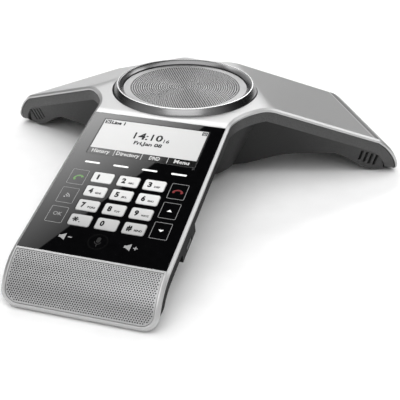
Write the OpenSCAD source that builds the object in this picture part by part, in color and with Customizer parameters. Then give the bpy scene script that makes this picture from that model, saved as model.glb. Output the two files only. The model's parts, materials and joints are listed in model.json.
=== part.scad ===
// Three-legged tabletop conference phone: loudspeaker hub, key panel on the
// front leg, microphones in the leg ends.
// Millimetres, +Z up. The origin is on the table, under the middle of the body.
// The loudspeaker axis stands at [0, axis_y]. The front leg runs along -Y, the
// two rear arms at 30 and 150 degrees.

/* [Body] */
// Half width of every leg
leg_half = 47; // [42:0.5:52]
// Speaker axis to the end of the front leg
front_len = 200.5; // [190:0.5:215]
// Speaker axis to the end of each rear arm
arm_len = 152; // [140:0.5:165]
// Height of the flat hub around the loudspeaker
hub_top = 62; // [56:0.5:68]
// Slope of the front leg, degrees
front_slope = 15; // [12:0.5:18]
// Slope of the rear arms, degrees
arm_slope = 21.2; // [18:0.2:24]
// Radius of the hollow corner between two legs
crotch_r = 47; // [35:1:60]
// Gap between the housing and the table, filled by the feet
foot_gap = 1.5; // [1:0.5:3]

/* [Shells] */
// Height of the silver top shell's edge
shell_t = 2.4; // [2:0.2:4]
// Wall of the lower housing
wall = 2.2; // [1.8:0.2:3]
// Height of the upright band below the parting line
band_h = 7; // [5:0.5:10]
// Inward lean of the wall below the band, mm per mm
undercut = 0.5; // [0.3:0.05:0.7]

/* [Key panel] */
// Panel width
panel_w = 90.4; // [80:0.2:91]
// Panel length down the slope
panel_l = 126; // [115:0.5:130]
// Panel thickness
panel_t = 2; // [1.5:0.1:3]
// Key width
key_w = 13.5; // [11:0.1:15]
// Key height
key_h = 9; // [7:0.1:10]
// Key column spacing
key_px = 16.8; // [15.5:0.1:18]
// Key row spacing
key_py = 12.5; // [11.5:0.1:13.5]
// Key travel
key_travel = 0.5; // [0.3:0.1:1]

/* [Loudspeaker] */
// Radius of the polished collar's rim
rim_r = 48.4; // [44:0.2:50]
// Height of the rim over the hub
rim_h = 4.5; // [3:0.5:7]
// Radius of the perforated grille
grille_r = 43.8; // [40:0.2:45]

/* [Hidden] */
$fn = 96;

// Speaker axis ahead of or behind the middle of the body
axis_y = 42.6;
// Far enough to pass the whole body, for cutting solids
far = 400;
// Front leg and the two rear arms
leg_angles = [-90, 30, 150];
arm_angles = [30, 150];
front_angle = -90;

// Where the sloping top of a leg folds down: distance from the axis, height,
// and the tilt that the fold starts with
front_fold = [178.2, 28.4, front_slope];
arm_fold = [133.5, 28.8, 32];
fold_steps = 8;

// Silver shell and dark housing
parting_gap = 0.4;
housing_inset = 0.5;
corner_r = 10.5;
end_wall = 9;

// Hub's cone below the band: radius at its floor and at its top
hub_floor_r = 38;
hub_wall_r = 60.5;
band_drop = shell_t + parting_gap + band_h;
band_z = hub_top - band_drop;

// Underside heights and where they change, from the axis outwards
hub_floor = 9;
leg_rise = 0.4;
// How much a leaning wall is thicker measured level, and the outline's floor raised
wall_slant = 1.1;
floor_slant = 1.15;
arm_arch = [30, 72, 96, 137, 20];
front_arch = [30, 60, 140, 172, 12];
arch_steps = 16;

// Loudspeaker, heights over the table
seat_z = hub_top - 1.6;
rim_z = hub_top + rim_h;
collar_foot_r = rim_r + 3;
skirt_r = 48.4;
shell_bore_r = 48.8;
grille_z = rim_z - 3.3;
grille_t = 0.7;
cloth_t = 0.4;
skirt_z = 58;
flange_z = 55;
flange_t = 1.4;
flange_r = 54;
coil_r = 12.9;

// Panel features, measured down the slope from the panel's top edge
lcd_w = 70.9;
lcd_h = 34.4;
lcd_v = 6;
key_v0 = 61.6;
key_proud = 0.25;
key_gap = 0.2;
key_flange = 0.9;
key_flange_t = 0.8;
mat_gap = 0.15;
key_corner = 1.4;

// Stack under the panel, depths below its face
lcd_depth = 2.3;
lcd_t = 2.7;
backlight_t = 2.9;
mat_depth = panel_t + 2 * mat_gap + key_flange_t + key_travel;
mat_t = 1.2;
pad_board_depth = 4.9;
pad_board_t = 1;
pad_board_v = [48.2, 122];
carrier_depth = 2.1;
carrier_floor = 8.1;
carrier_t = 1.6;
carrier_half = 43.9;

// Main board under the carrier
board_depth = 10.7;
board_t = 1.6;
board_v = [14, 104];
board_half = 36.8;

// Network socket under the main board, and the cable recess behind it
lan_u = 20;
lan_w = 16;
lan_h = 12;
lan_l = 21;
lan_v = 45;
// Plug opening: width, depth and height
lan_plug = [11.8, 14, 7.2];
recess_half = 10;
recess_y = [-94, -62];
recess_z = 36.5;
recess_wall = 1.2;

// Port block on the right side of the front leg
port_v = [78.4, 104];
port_drop = 6.3;
port_in = 9;
usb_w = 9.2;
usb_h = 3.4;
usb_v = 91;
usb_t = 0.4;
usb_start = 30;
usb_back = 39;

screw_r = 1.45;
screw_head_r = 2.8;
screw_head_h = 1.8;

silver = [0.80, 0.80, 0.80];
dark_grey = [0.20, 0.20, 0.21];
steel_grey = [0.62, 0.62, 0.63];
polished = [0.75, 0.75, 0.76];
gloss_black = [0.03, 0.03, 0.03];
key_white = [0.95, 0.95, 0.95];
board_green = [0.06, 0.28, 0.14];
rubber_black = [0.07, 0.07, 0.07];
copper = [0.72, 0.40, 0.20];
ferrite = [0.16, 0.16, 0.17];
spider_brown = [0.75, 0.62, 0.35];
window_tint = [0.85, 0.87, 0.88, 0.5];
milky = [0.90, 0.90, 0.88];
display_grey = [0.55, 0.58, 0.55];

// ---------------------------------------------------------------- helpers

module placed() translate([0, axis_y, 0]) children();

// Panel frame: x across, y up the slope, z out of the panel, from the middle
// of its top edge. in_panel() is for use inside placed()
panel_y = -(front_fold[0] - panel_l * cos(front_slope));
panel_z = front_fold[1] + panel_l * sin(front_slope);
module in_panel() translate([0, panel_y, panel_z]) rotate([front_slope, 0, 0]) children();
module on_panel() placed() in_panel() children();

// Box given by its low corner and its size
module box(low, size) translate(low) cube(size);

// Plate with round corners, centred in x and y
module round_plate(w, h, t, r) {
    linear_extrude(t) {
        square([w - 2 * r, h], center = true);
        square([w, h - 2 * r], center = true);
        for (x = [-1, 1], y = [-1, 1])
            translate([x * (w / 2 - r), y * (h / 2 - r)]) circle(r, $fn = 24);
    }
}

module ring(r_out, r_in, z, h)
    translate([0, 0, z]) difference() {
        cylinder(r = r_out, h = h);
        translate([0, 0, -1]) cylinder(r = r_in, h = h + 2);
    }

function smooth(t) = t * t * (3 - 2 * t);
function blend(a, a0, a1, z0, z1) = z0 + (z1 - z0) * smooth(min(1, max(0, (a - a0) / (a1 - a0))));

// ------------------------------------------------------- outline and top

// Radius of a fold that starts at the fold point and reaches the table at len
function fold_radius(f, len) =
    let (a = len - f[0], b = -f[1])
    -(a * a + b * b) / (2 * (a * sin(f[2]) + b * cos(f[2])));

// Side view of a leg's top surface, lowered by d square to the surface
function leg_top(f, slope, len, d) =
    let (
        r = fold_radius(f, len),
        cx = f[0] - r * sin(f[2]),
        cz = f[1] - r * cos(f[2]),
        half = (slope + f[2]) / 2,
        m = d / cos((f[2] - slope) / 2),
        p = [f[0] - m * sin(half), f[1] - m * cos(half)],
        flat = p[0] - (hub_top - d - p[1]) / tan(slope),
        q = r - d
    )
    concat(
        [[-far, -far], [-far, hub_top - d], [flat, hub_top - d], p],
        [for (i = [1 : fold_steps])
            let (t = f[2] + (95 - f[2]) * i / fold_steps)
            [cx + q * sin(t), cz + q * cos(t)]],
        [[cx + q * sin(95), -far]]
    );

module leg_top_solid(angle, points)
    rotate(angle) rotate([90, 0, 0]) linear_extrude(2 * far, center = true) polygon(points);

// Everything under the top surface lowered by d
module under_top(d) {
    intersection() {
        leg_top_solid(front_angle, leg_top(front_fold, front_slope, front_len, d));
        leg_top_solid(arm_angles[0], leg_top(arm_fold, arm_slope, arm_len, d));
        leg_top_solid(arm_angles[1], leg_top(arm_fold, arm_slope, arm_len, d));
    }
}

function leg_len(angle) = angle == front_angle ? front_len : arm_len;

// Plan outline of the three legs with hollow corners between them
module outline(inset, shorter = 0) {
    half = leg_half - inset;
    centre = (leg_half + crotch_r) / sin(60);
    tangent = centre * cos(60);
    for (a = leg_angles) rotate(a) {
        translate([-1, -half]) square([leg_len(a) - shorter + 1, 2 * half]);
    }
    for (a = leg_angles) rotate(a + 60) difference() {
        polygon([
            [0, 0],
            [tangent * cos(60) + half * sin(60), tangent * sin(60) - half * cos(60)],
            [centre, 0],
            [tangent * cos(60) + half * sin(60), -tangent * sin(60) + half * cos(60)]
        ]);
        translate([centre, 0]) circle(crotch_r + inset);
    }
}

// Cuts that round the two lower corners of every leg's end
module end_corner_cuts(inset) {
    half = leg_half - inset;
    r = corner_r - inset;
    reach = 50;
    for (a = leg_angles) rotate(a)
        for (s = [-1, 1])
            difference() {
                box([leg_len(a) - reach, s > 0 ? half - r : -half - 1, -far],
                    [reach + 10, r + 1, far + foot_gap + inset + r]);
                translate([leg_len(a) - reach - 1, s * (half - r), foot_gap + inset + r])
                    rotate([0, 90, 0]) cylinder(r = r, h = reach + 20);
            }
}

// Solid of the plan outline under the lowered top
module body_block(inset, d, shorter = 0)
    intersection() {
        translate([0, 0, foot_gap]) linear_extrude(far) outline(inset, shorter);
        under_top(d);
    }

// ------------------------------------------------------------ lower housing

function arch_points(a, floor_z, lift) = concat(
    [[-far, -far], [-far, floor_z + lift]],
    [for (i = [0 : arch_steps])
        let (x = a[0] + (a[1] - a[0]) * i / arch_steps)
        [x, blend(x, a[0], a[1], floor_z, a[4]) + lift]],
    [for (i = [0 : arch_steps])
        let (x = a[2] + (a[3] - a[2]) * i / arch_steps)
        [x, blend(x, a[2], a[3], a[4], foot_gap) + lift]],
    [[far, foot_gap + lift], [far, -far]]
);

// Part of one leg: leaning walls below the band, over the arched underside.
// It reaches a little way into the band above it
module leg_wall(angle, slope, fold, arch, t, shorter) {
    drop = band_drop / cos(slope);
    half = leg_half - housing_inset - t * wall_slant - 0.05;
    deep = 60;
    lap = 1;
    rotate(angle) difference() {
        intersection() {
            translate([0, 0, fold[1] - drop + fold[0] * tan(slope)]) rotate([0, slope, 0])
                translate([-30, 0, 0]) rotate([90, 0, 90]) linear_extrude(far)
                polygon([
                    [-half, lap], [half, lap], [half, 0],
                    [half - undercut * deep, -deep], [-half + undercut * deep, -deep], [-half, 0]
                ]);
            box([5, -far / 2, -20], [leg_len(angle) - shorter - 5, far, 100]);
        }
        rotate([90, 0, 0]) linear_extrude(far, center = true)
            polygon(arch_points(arch, hub_floor + leg_rise, t));
    }
}

// The housing's outer shape, or its cavity when t is the wall
module housing_solid(t, d, shorter) {
    intersection() {
        union() {
            difference() {
                translate([0, 0, foot_gap + floor_slant * t])
                    linear_extrude(100) outline(housing_inset + t, shorter);
                under_top(band_drop);
            }
            leg_wall(front_angle, front_slope, front_fold, front_arch, t, shorter);
            for (a = arm_angles) leg_wall(a, arm_slope, arm_fold, arm_arch, t, shorter);
            translate([0, 0, hub_floor + t])
                cylinder(r1 = hub_floor_r - t, r2 = hub_wall_r - t, h = band_z + 1 - hub_floor - t);
        }
        under_top(d);
    }
}

function arch_z(angle, a) =
    let (p = angle == front_angle ? front_arch : arm_arch)
    a < p[2] ? p[4] : blend(a, p[2], p[3], p[4], foot_gap);

// Height of the parting line's band bottom over a rear arm
function arm_band_z(a) =
    arm_fold[1] + (arm_fold[0] - a) * tan(arm_slope)
    - band_drop / cos(arm_slope);

// ------------------------------------------------------------------ screws

// Screws up through the housing: leg angle, distance out, distance across
front_screw = [168, 33.5];
arm_screw = [106, 26];
function screw_place(a) = a == front_angle ? front_screw : arm_screw;
screw_spots = [for (a = leg_angles, s = [-1, 1]) [a, screw_place(a)[0], s * screw_place(a)[1]]];
front_spots = [for (p = screw_spots) if (p[0] == front_angle) p];
arm_spots = [for (p = screw_spots) if (p[0] != front_angle) p];
boss_r = 3.8;
head_z = 4;
joint_z = 9;
screw_l = 14;

module at_spots(spots)
    for (p = spots) rotate(p[0]) translate([p[1], p[2], arch_z(p[0], p[1])]) children();

// A boss that hangs from the shell or the carrier, with its screw hole
module hanging_boss(top)
    difference() {
        translate([0, 0, joint_z + 0.1]) cylinder(r = boss_r, h = top, $fn = 32);
        translate([0, 0, joint_z]) cylinder(r = screw_r + 0.1, h = screw_l - joint_z + 1, $fn = 32);
    }

// ------------------------------------------------------------ outer shells

grille_half = 44.2;
grille_gap = 0.2;
grille_sink = 0.35;
grille_foot = 4.2;
grille_corner = 8;
grille_start = front_fold[0] + 1.6;

// Region that the front grille fills, seen from the front, grown by g
module grille_region(g) {
    r = grille_corner + g;
    half = grille_half + g;
    low = grille_foot - g;
    translate([0, -grille_start + g, 0]) rotate([90, 0, 0]) linear_extrude(60) {
        translate([-half, low + r]) square([2 * half, 60]);
        translate([-half + r, low]) square([2 * (half - r), r + 1]);
        for (s = [-1, 1]) translate([s * (half - r), low + r]) circle(r);
    }
}

module top_shell() color(silver) placed() difference() {
    union() {
        difference() {
            body_block(0, 0);
            under_top(shell_t);
        }
        intersection() {
            ring(flange_r + 0.5, shell_bore_r, flange_z + flange_t + 0.1, 8);
            under_top(1);
        }
        intersection() {
            at_spots(arm_spots) hanging_boss(40);
            under_top(1);
        }
    }
    end_corner_cuts(0);
    translate([0, 0, seat_z]) cylinder(r = collar_foot_r + 0.4, h = 20);
    translate([0, 0, skirt_z - 10]) cylinder(r = shell_bore_r, h = 20);
    at_speaker_screws() translate([0, 0, flange_z]) cylinder(r = 1.4, h = 4.4, $fn = 24);
    in_panel() panel_opening(0.1, 2.6);
    grille_region(grille_gap);
}

// Opening for the panel, in the panel frame
module panel_opening(g, depth)
    box([-panel_w / 2 - g, -panel_l - g, -depth], [panel_w + 2 * g, panel_l + 2 * g, depth + 10]);

// Foot pads: distance out, length along the leg, width across, corner radius
front_foot = [186, 12, 60, 5];
arm_foot = [143.4, 8, 50, 3.8];
foot_t = 2.5;

module foot_pad(angle, g = 0) {
    f = angle == front_angle ? front_foot : arm_foot;
    rotate(angle) translate([f[0], 0, 0]) round_plate(f[1] + 2 * g, f[2] + 2 * g, foot_t + g / 10, f[3] + g);
}

slot_w = 2.1;
slot_a = [121, 125, 129, 133];
slot_depth = 16;
slot_foot = 4.5;
slot_short = 6.1;

// Sound slots in the wall of a rear arm that faces the front
module mic_slots(angle) {
    side = angle == 30 ? -1 : 1;
    for (a = slot_a) rotate(angle)
        box([a - slot_w / 2, side > 0 ? 50 - slot_depth : -50, arch_z(angle, a) + slot_foot],
            [slot_w, slot_depth, arm_band_z(a) - arch_z(angle, a) - slot_short]);
}

mic_a = 127;
mic_lat = 36.8;
mic_z = 14;
mic_front_a = 191;
mic_front_z = 13;
mic_r = 3;
mic_l = 2.7;
mic_hole_r = 1.2;
boot_r = 4.7;
boot_l = 6;

// Puts a microphone that faces +X at its place in a leg
module at_mic(angle) {
    if (angle == front_angle) rotate(angle) translate([mic_front_a, 0, mic_front_z]) children();
    if (angle == 30) rotate(angle) translate([mic_a, -mic_lat, mic_z]) rotate(-90) children();
    if (angle == 150) rotate(angle) translate([mic_a, mic_lat, mic_z]) rotate(90) children();
}

// Cradle that holds a microphone's boot up from the housing's floor
module mic_cradle(angle)
    difference() {
        at_mic(angle) box([-boot_l + 1, -boot_r - 1, -20], [boot_l - 2, 2 * boot_r + 2, 20]);
        at_mic(angle) translate([-boot_l - 1, 0, 0])
            rotate([0, 90, 0]) cylinder(r = boot_r + 0.05, h = boot_l + 2);
    }

module lower_housing() color(dark_grey) placed() difference() {
    union() {
        difference() {
            housing_solid(0, shell_t + parting_gap, 0);
            housing_solid(wall, 0, end_wall);
        }
        intersection() {
            housing_solid(0.5, shell_t + parting_gap + 1, 0);
            union() {
                at_spots(screw_spots) cylinder(r = boss_r, h = joint_z, $fn = 32);
                for (a = leg_angles) mic_cradle(a);
                box([lan_u - recess_half - recess_wall, recess_y[0] - recess_wall, 0],
                    [2 * (recess_half + recess_wall), recess_y[1] - recess_y[0] + 2 * recess_wall,
                     recess_z + recess_wall]);
            }
        }
    }
    end_corner_cuts(housing_inset);
    box([lan_u - recess_half, recess_y[0], -1], [2 * recess_half, recess_y[1] - recess_y[0], recess_z + 1]);
    for (a = leg_angles) foot_pad(a, 0.1);
    for (a = arm_angles) mic_slots(a);
    rotate(front_angle) translate([mic_front_a - 1, 0, mic_front_z])
        rotate([0, 90, 0]) cylinder(r = mic_hole_r, h = 20, $fn = 24);
    at_spots(screw_spots) {
        translate([0, 0, -10]) cylinder(r = screw_head_r + 0.2, h = head_z + 10, $fn = 32);
        cylinder(r = screw_r + 0.15, h = joint_z + 1, $fn = 32);
    }
    in_panel() port_space(0.1);
    in_panel() box([lan_u - lan_w / 2 - 0.2, -lan_v - lan_l - 0.2, -board_depth - board_t - lan_h - 0.3],
        [lan_w + 0.4, lan_l + 3, lan_h + 1]);
}

module port_space(g)
    box([leg_half - housing_inset - port_in - g, -port_v[1] - g, -band_drop - port_drop - g],
        [port_in + 5, port_v[1] - port_v[0] + 2 * g, port_drop + 2 * g]);

module port_block() color(dark_grey) placed() in_panel() difference() {
    box([leg_half - housing_inset - port_in, -port_v[1], -band_drop - port_drop],
        [port_in, port_v[1] - port_v[0], port_drop]);
    box([0, -usb_v - usb_w / 2 - 0.15, -board_depth - board_t - usb_h - 0.15],
        [leg_half, usb_w + 0.3, usb_h + 0.3]);
}

module foot_front() color(rubber_black) placed() foot_pad(front_angle);
module foot_right() color(rubber_black) placed() foot_pad(30);
module foot_left() color(rubber_black) placed() foot_pad(150);

module front_grille() color(steel_grey) placed() intersection() {
    difference() {
        under_top(grille_sink);
        under_top(grille_sink + 0.8);
    }
    grille_region(0);
}

module front_grille_cloth() color(rubber_black) placed() intersection() {
    difference() {
        under_top(grille_sink + 0.85);
        under_top(grille_sink + 0.85 + cloth_t);
    }
    grille_region(-0.5);
}

// ------------------------------------------------------------- loudspeaker

speaker_screw_r = 51.5;
collar_bore_r = 40.6;
collar_neck_z = 60.8;
collar_neck_r = 46.6;

// Basket: heights of its floor and the radii of its bore, floor and rim
basket_z = 38.3;
basket_wall = 1.2;
basket_bore_r = 14.4;
basket_floor_r = 32.2;
basket_rim_r = 43;
basket_seat_r = 41.4;
basket_window = [12, 18, 9];

// Magnet parts: outer radius, inner radius, height of the underside, thickness
top_plate = [32, 13.9, 34.8, 3.4];
magnet = [36, 17, 24.7, 10];
yoke = [33, 0, 20.6, 4];
pole = [12, 0, 20.6, 17.6];
coil = [coil_r + 0.4, coil_r - 0.4, 29, 18];

// Cone: heights at its neck and at its edge
cone_z = [44, 56.2];
cone_r = 35.8;
cone_t = 0.8;
module at_speaker_screws()
    for (a = [45 : 90 : 315]) rotate(a) translate([speaker_screw_r, 0, 0]) children();

module speaker_collar() color(polished) placed() rotate_extrude($fn = 180) polygon([
    [collar_foot_r, seat_z + 0.05], [rim_r, rim_z], [rim_r - 0.8, rim_z],
    [grille_r + 0.25, grille_z + 0.2], [grille_r + 0.25, grille_z - grille_t - cloth_t - 0.05],
    [collar_bore_r, grille_z - grille_t - cloth_t - 0.05], [collar_bore_r, collar_neck_z],
    [collar_neck_r, skirt_z + 0.05],
    [skirt_r, skirt_z + 0.05], [skirt_r, seat_z + 0.05]
]);

module speaker_grille() color(steel_grey) placed()
    translate([0, 0, grille_z - grille_t]) cylinder(r = grille_r, h = grille_t, $fn = 180);

module grille_cloth() color(rubber_black) placed()
    translate([0, 0, grille_z - grille_t - cloth_t]) cylinder(r = grille_r - 0.6, h = cloth_t - 0.02);

module speaker_gasket() color(rubber_black) placed()
    ring(skirt_r - 0.2, 44.4, flange_z + flange_t + 0.1, skirt_z - flange_z - flange_t - 0.1);

module speaker_basket() color(steel_grey) placed() difference() {
    rotate_extrude() polygon([
        [basket_bore_r, basket_z], [basket_floor_r, basket_z], [basket_rim_r, flange_z], [flange_r, flange_z],
        [flange_r, flange_z + flange_t], [basket_seat_r, flange_z + flange_t], [basket_seat_r, flange_z + 0.2],
        [basket_floor_r - basket_wall, basket_z + basket_wall], [basket_bore_r, basket_z + basket_wall]
    ]);
    at_speaker_screws() translate([0, 0, flange_z - 1]) cylinder(r = 1.6, h = 5, $fn = 24);
    for (a = [0 : 60 : 300])
        rotate(a) box([basket_floor_r - 2.2, -basket_window[1] / 2, basket_z + 3.7], basket_window);
}

module ring_of(v) ring(v[0], v[1], v[2], v[3]);
module disc_of(v) translate([0, 0, v[2]]) cylinder(r = v[0], h = v[3]);

module magnet_top_plate() color(steel_grey) placed() ring_of(top_plate);
module speaker_magnet() color(ferrite) placed() ring_of(magnet);
module magnet_yoke() color(steel_grey) placed() {
    disc_of(yoke);
    disc_of(pole);
}
module voice_coil() color(copper) placed() ring_of(coil);

module speaker_cone() color(ferrite) placed() rotate_extrude() polygon([
    [coil_r + 0.45, cone_z[0]], [coil_r + 1.3, cone_z[0]], [cone_r, cone_z[1] - cone_t],
    [cone_r, cone_z[1]], [cone_r - cone_t, cone_z[1]], [coil_r + 0.45, cone_z[0] + 1]
]);

dome_r = 20;
dome_base = 47.2;
dome_base_r = 11;
dome_t = 0.6;
dome_step = 1.5;
dome_steps = 8;
function dome(r, lift) = dome_base - sqrt(dome_r * dome_r - dome_base_r * dome_base_r)
    + sqrt(dome_r * dome_r - r * r) + lift;
module dust_cap() color(ferrite) placed() rotate_extrude() polygon(concat(
    [for (i = [0 : dome_steps]) [i * dome_step, dome(i * dome_step, dome_t)]],
    [for (i = [dome_steps : -1 : 0]) [i * dome_step, dome(i * dome_step, 0)]]
));

roll_r = 2.5;
roll_t = 0.5;
roll_centre_r = 38.7;
roll_lip_r = 44;
module cone_surround() color(rubber_black) placed() {
    rotate_extrude() intersection() {
        translate([roll_centre_r, flange_z + flange_t + 0.1]) difference() {
            circle(roll_r, $fn = 40);
            circle(roll_r - roll_t, $fn = 40);
        }
        translate([roll_centre_r - 2 * roll_r, flange_z + flange_t + 0.1]) square(4 * roll_r);
    }
    ring(roll_lip_r, roll_centre_r + roll_r - 0.1, flange_z + flange_t + 0.05, roll_t);
}

spider_z = 41;
spider_t = 0.4;
spider_wave = [1.45, 0.5];
spider_steps = 12;
function spider_point(i, lift) =
    [coil_r + 0.6 + i * spider_wave[0], spider_z + lift + spider_wave[1] * (i % 2)];
module cone_spider() color(spider_brown) placed() rotate_extrude() polygon(concat(
    [for (i = [0 : spider_steps]) spider_point(i, 0)],
    [for (i = [spider_steps : -1 : 0]) spider_point(i, spider_t)]
));

// Head radius and height, shank radius and length of the inner screws
speaker_screw = [2.4, 1.6, 1.3, 4.2];
board_screw = [2.3, 1.4, 1.15, board_t + 2.1];

// Screw whose head's top face is at z = 0, shank upwards
module inner_screw(s) {
    translate([0, 0, -s[1]]) cylinder(r = s[0], h = s[1], $fn = 32);
    translate([0, 0, -0.5]) cylinder(r = s[2], h = s[3], $fn = 24);
}

module speaker_screws() color(polished) placed()
    at_speaker_screws() translate([0, 0, flange_z]) inner_screw(speaker_screw);

// --------------------------------------------------------------- key panel

window_g = 0.6;
led_u = 35.3;
led_v = 42.2;
led_r = 0.7;

function key_u(i) = (i % 3 - 1) * key_px;
function key_v(i) = key_v0 + floor(i / 3) * key_py;

module front_panel() color(gloss_black) on_panel() difference() {
    box([-panel_w / 2, -panel_l, -panel_t], [panel_w, panel_l, panel_t]);
    box([-lcd_w / 2 - window_g, -lcd_v - lcd_h - window_g, -panel_t - 1],
        [lcd_w + 2 * window_g, lcd_h + 2 * window_g, panel_t + 2]);
    for (i = [0 : 11]) translate([key_u(i), -key_v(i), -panel_t - 1])
        round_plate(key_w + 2 * key_gap, key_h + 2 * key_gap, panel_t + 2, key_corner + key_gap);
    translate([led_u, -led_v, -panel_t - 1]) cylinder(r = led_r + 0.05, h = panel_t + 2, $fn = 24);
}

module display_window() color(window_tint) on_panel()
    box([-lcd_w / 2 - window_g + 0.05, -lcd_v - lcd_h - window_g + 0.05, -panel_t],
        [lcd_w + 2 * window_g - 0.1, lcd_h + 2 * window_g - 0.1, panel_t]);

module status_light() color(milky) on_panel()
    translate([led_u, -led_v, -panel_t]) cylinder(r = led_r, h = panel_t, $fn = 24);

module key(i) color(key_white) on_panel() translate([key_u(i), -key_v(i), 0]) {
    translate([0, 0, -panel_t - mat_gap]) round_plate(key_w, key_h, panel_t + mat_gap + key_proud, key_corner);
    translate([0, 0, -panel_t - mat_gap - key_flange_t])
        round_plate(key_w + 2 * key_flange, key_h + 2 * key_flange, key_flange_t, key_corner);
}
module key_1() key(0);
module key_2() key(1);
module key_3() key(2);
module key_4() key(3);
module key_5() key(4);
module key_6() key(5);
module key_7() key(6);
module key_8() key(7);
module key_9() key(8);
module key_star() key(9);
module key_0() key(10);
module key_hash() key(11);

// Flat plates under the panel: half width, and where they start and end down
// the slope
mat_plate = [27.5, key_v0 - 8, key_v0 + 3 * key_py + 8];
lcd_plate = [41, 2.2, 46.4];
guide_plate = [40.5, 2.6, 46];

module plate(p, depth, t) box([-p[0], -p[2], -depth - t], [2 * p[0], p[2] - p[1], t]);

module keypad_mat() color(milky) on_panel() plate(mat_plate, mat_depth, mat_t);

module keypad_board() color(board_green) on_panel()
    plate([carrier_half - 1.8, pad_board_v[0], pad_board_v[1]], pad_board_depth, pad_board_t);

module lcd_module() color(display_grey) on_panel() plate(lcd_plate, lcd_depth, lcd_t);

module lcd_backlight() color(milky) on_panel() plate(guide_plate, lcd_depth + lcd_t + 0.1, backlight_t);

flex_t = 0.2;
flex_v = 47.2;
lcd_flex_u = [-8, 6];
pad_flex_u = [20, 32];
slit = 2.2;

module flex_strip(u, v, top)
    box([u[0], -v - flex_t, -board_depth], [u[1] - u[0], flex_t, board_depth - top]);

module lcd_flex() color(copper) on_panel() flex_strip(lcd_flex_u, 46.5, lcd_depth + 1);
module keypad_flex() color(copper) on_panel() flex_strip(pad_flex_u, flex_v + 0.6, pad_board_depth + 0.2);

board_screws_at = [[-30, 24], [30, 24], [-30, 100], [30, 100]];

standoff_r = 2.8;
module panel_carrier() color(dark_grey) {
    difference() {
        on_panel() difference() {
            union() {
                box([-carrier_half, -panel_l + 0.5, -carrier_floor - carrier_t],
                    [2 * carrier_half, panel_l - 0.8, carrier_floor + carrier_t - carrier_depth]);
                for (p = board_screws_at) translate([p[0], -p[1], -board_depth + 0.05])
                    cylinder(r = standoff_r, h = board_depth - carrier_floor - 0.5, $fn = 32);
            }
            box([-carrier_half + carrier_t, -panel_l + 2.1, -carrier_floor],
                [2 * (carrier_half - carrier_t), panel_l - 4, carrier_floor]);
            for (u = [lcd_flex_u, pad_flex_u])
                box([u[0] - 1, -flex_v - 1.2, -far], [u[1] - u[0] + 2, slit, far]);
            for (p = board_screws_at)
                translate([p[0], -p[1], -carrier_floor - carrier_t - 2]) cylinder(r = 1.3, h = 5, $fn = 24);
        }
        placed() rotate_extrude() square([flange_r + 1, 70]);
    }
    placed() intersection() {
        at_spots(front_spots) hanging_boss(30);
        in_panel() box([-far, -far, -far], [2 * far, 2 * far, far - carrier_floor - 0.5]);
    }
}

// -------------------------------------------------------------- electronics

module main_board() color(board_green) on_panel() difference() {
    box([-board_half, -board_v[1], -board_depth - board_t], [2 * board_half, board_v[1] - board_v[0], board_t]);
    for (p = board_screws_at)
        translate([p[0], -p[1], -board_depth - board_t - 1]) cylinder(r = 1.4, h = board_t + 2, $fn = 24);
}

can = [38, 34, 2.75];
can_at = [-30, -94];
module shield_can() color(steel_grey) on_panel()
    box([can_at[0], can_at[1], -board_depth - board_t - can[2] - 0.05], can);

module board_screws() color(polished) on_panel()
    for (p = board_screws_at) translate([p[0], -p[1], -board_depth - board_t]) inner_screw(board_screw);

module ethernet_socket() color(polished) on_panel() difference() {
    box([lan_u - lan_w / 2, -lan_v - lan_l, -board_depth - board_t - lan_h - 0.05], [lan_w, lan_l, lan_h]);
    box([lan_u - lan_plug[0] / 2, -lan_v - lan_plug[1], -board_depth - board_t - 9.6],
        [lan_plug[0], 20, lan_plug[2]]);
}

module usb_socket() color(polished) on_panel() difference() {
    box([usb_start, -usb_v - usb_w / 2, -board_depth - board_t - usb_h],
        [leg_half - housing_inset - usb_start - 0.4, usb_w, usb_h - 0.05]);
    box([usb_back, -usb_v - usb_w / 2 + usb_t, -board_depth - board_t - usb_h + usb_t],
        [20, usb_w - 2 * usb_t, usb_h - 2 * usb_t - 0.05]);
}

module mic_boot(angle) color(rubber_black) placed() at_mic(angle) rotate([0, -90, 0]) difference() {
    cylinder(r = boot_r, h = boot_l, $fn = 48);
    translate([0, 0, -1]) cylinder(r = mic_r + 0.05, h = mic_l + 1.5, $fn = 48);
}
module mic_capsule(angle) color(polished) placed() at_mic(angle) rotate([0, -90, 0])
    translate([0, 0, 0.3]) cylinder(r = mic_r, h = mic_l, $fn = 48);
module mic_front() mic_capsule(front_angle);
module mic_right() mic_capsule(30);
module mic_left() mic_capsule(150);
module mic_boot_front() mic_boot(front_angle);
module mic_boot_right() mic_boot(30);
module mic_boot_left() mic_boot(150);

module housing_screws() color(polished) placed() at_spots(screw_spots) {
    translate([0, 0, head_z - screw_head_h]) cylinder(r = screw_head_r, h = screw_head_h, $fn = 32);
    translate([0, 0, head_z - 0.5]) cylinder(r = screw_r, h = screw_l - head_z + 0.5, $fn = 24);
}

function unit(v) = v / norm(v);
wire_sides = 8;

// A wire through a few points: one tube with a ring of corners at each point
module wire(points, r) {
    n = len(points);
    rings = [for (i = [0 : n - 1])
        let (
            ahead = unit(points[min(i + 1, n - 1)] - points[max(i - 1, 0)]),
            side = unit(cross(ahead, [0.3, 0.1, 1])),
            up = cross(side, ahead)
        )
        for (k = [0 : wire_sides - 1])
            let (t = 360 * k / wire_sides)
            points[i] + r * (cos(t) * side + sin(t) * up)];
    polyhedron(rings, concat(
        [[for (k = [wire_sides - 1 : -1 : 0]) k]],
        [for (i = [0 : n - 2], k = [0 : wire_sides - 1])
            let (j = (k + 1) % wire_sides, a = i * wire_sides, b = a + wire_sides)
            [a + k, a + j, b + j, b + k]],
        [[for (k = [0 : wire_sides - 1]) (n - 1) * wire_sides + k]]
    ));
}

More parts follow.
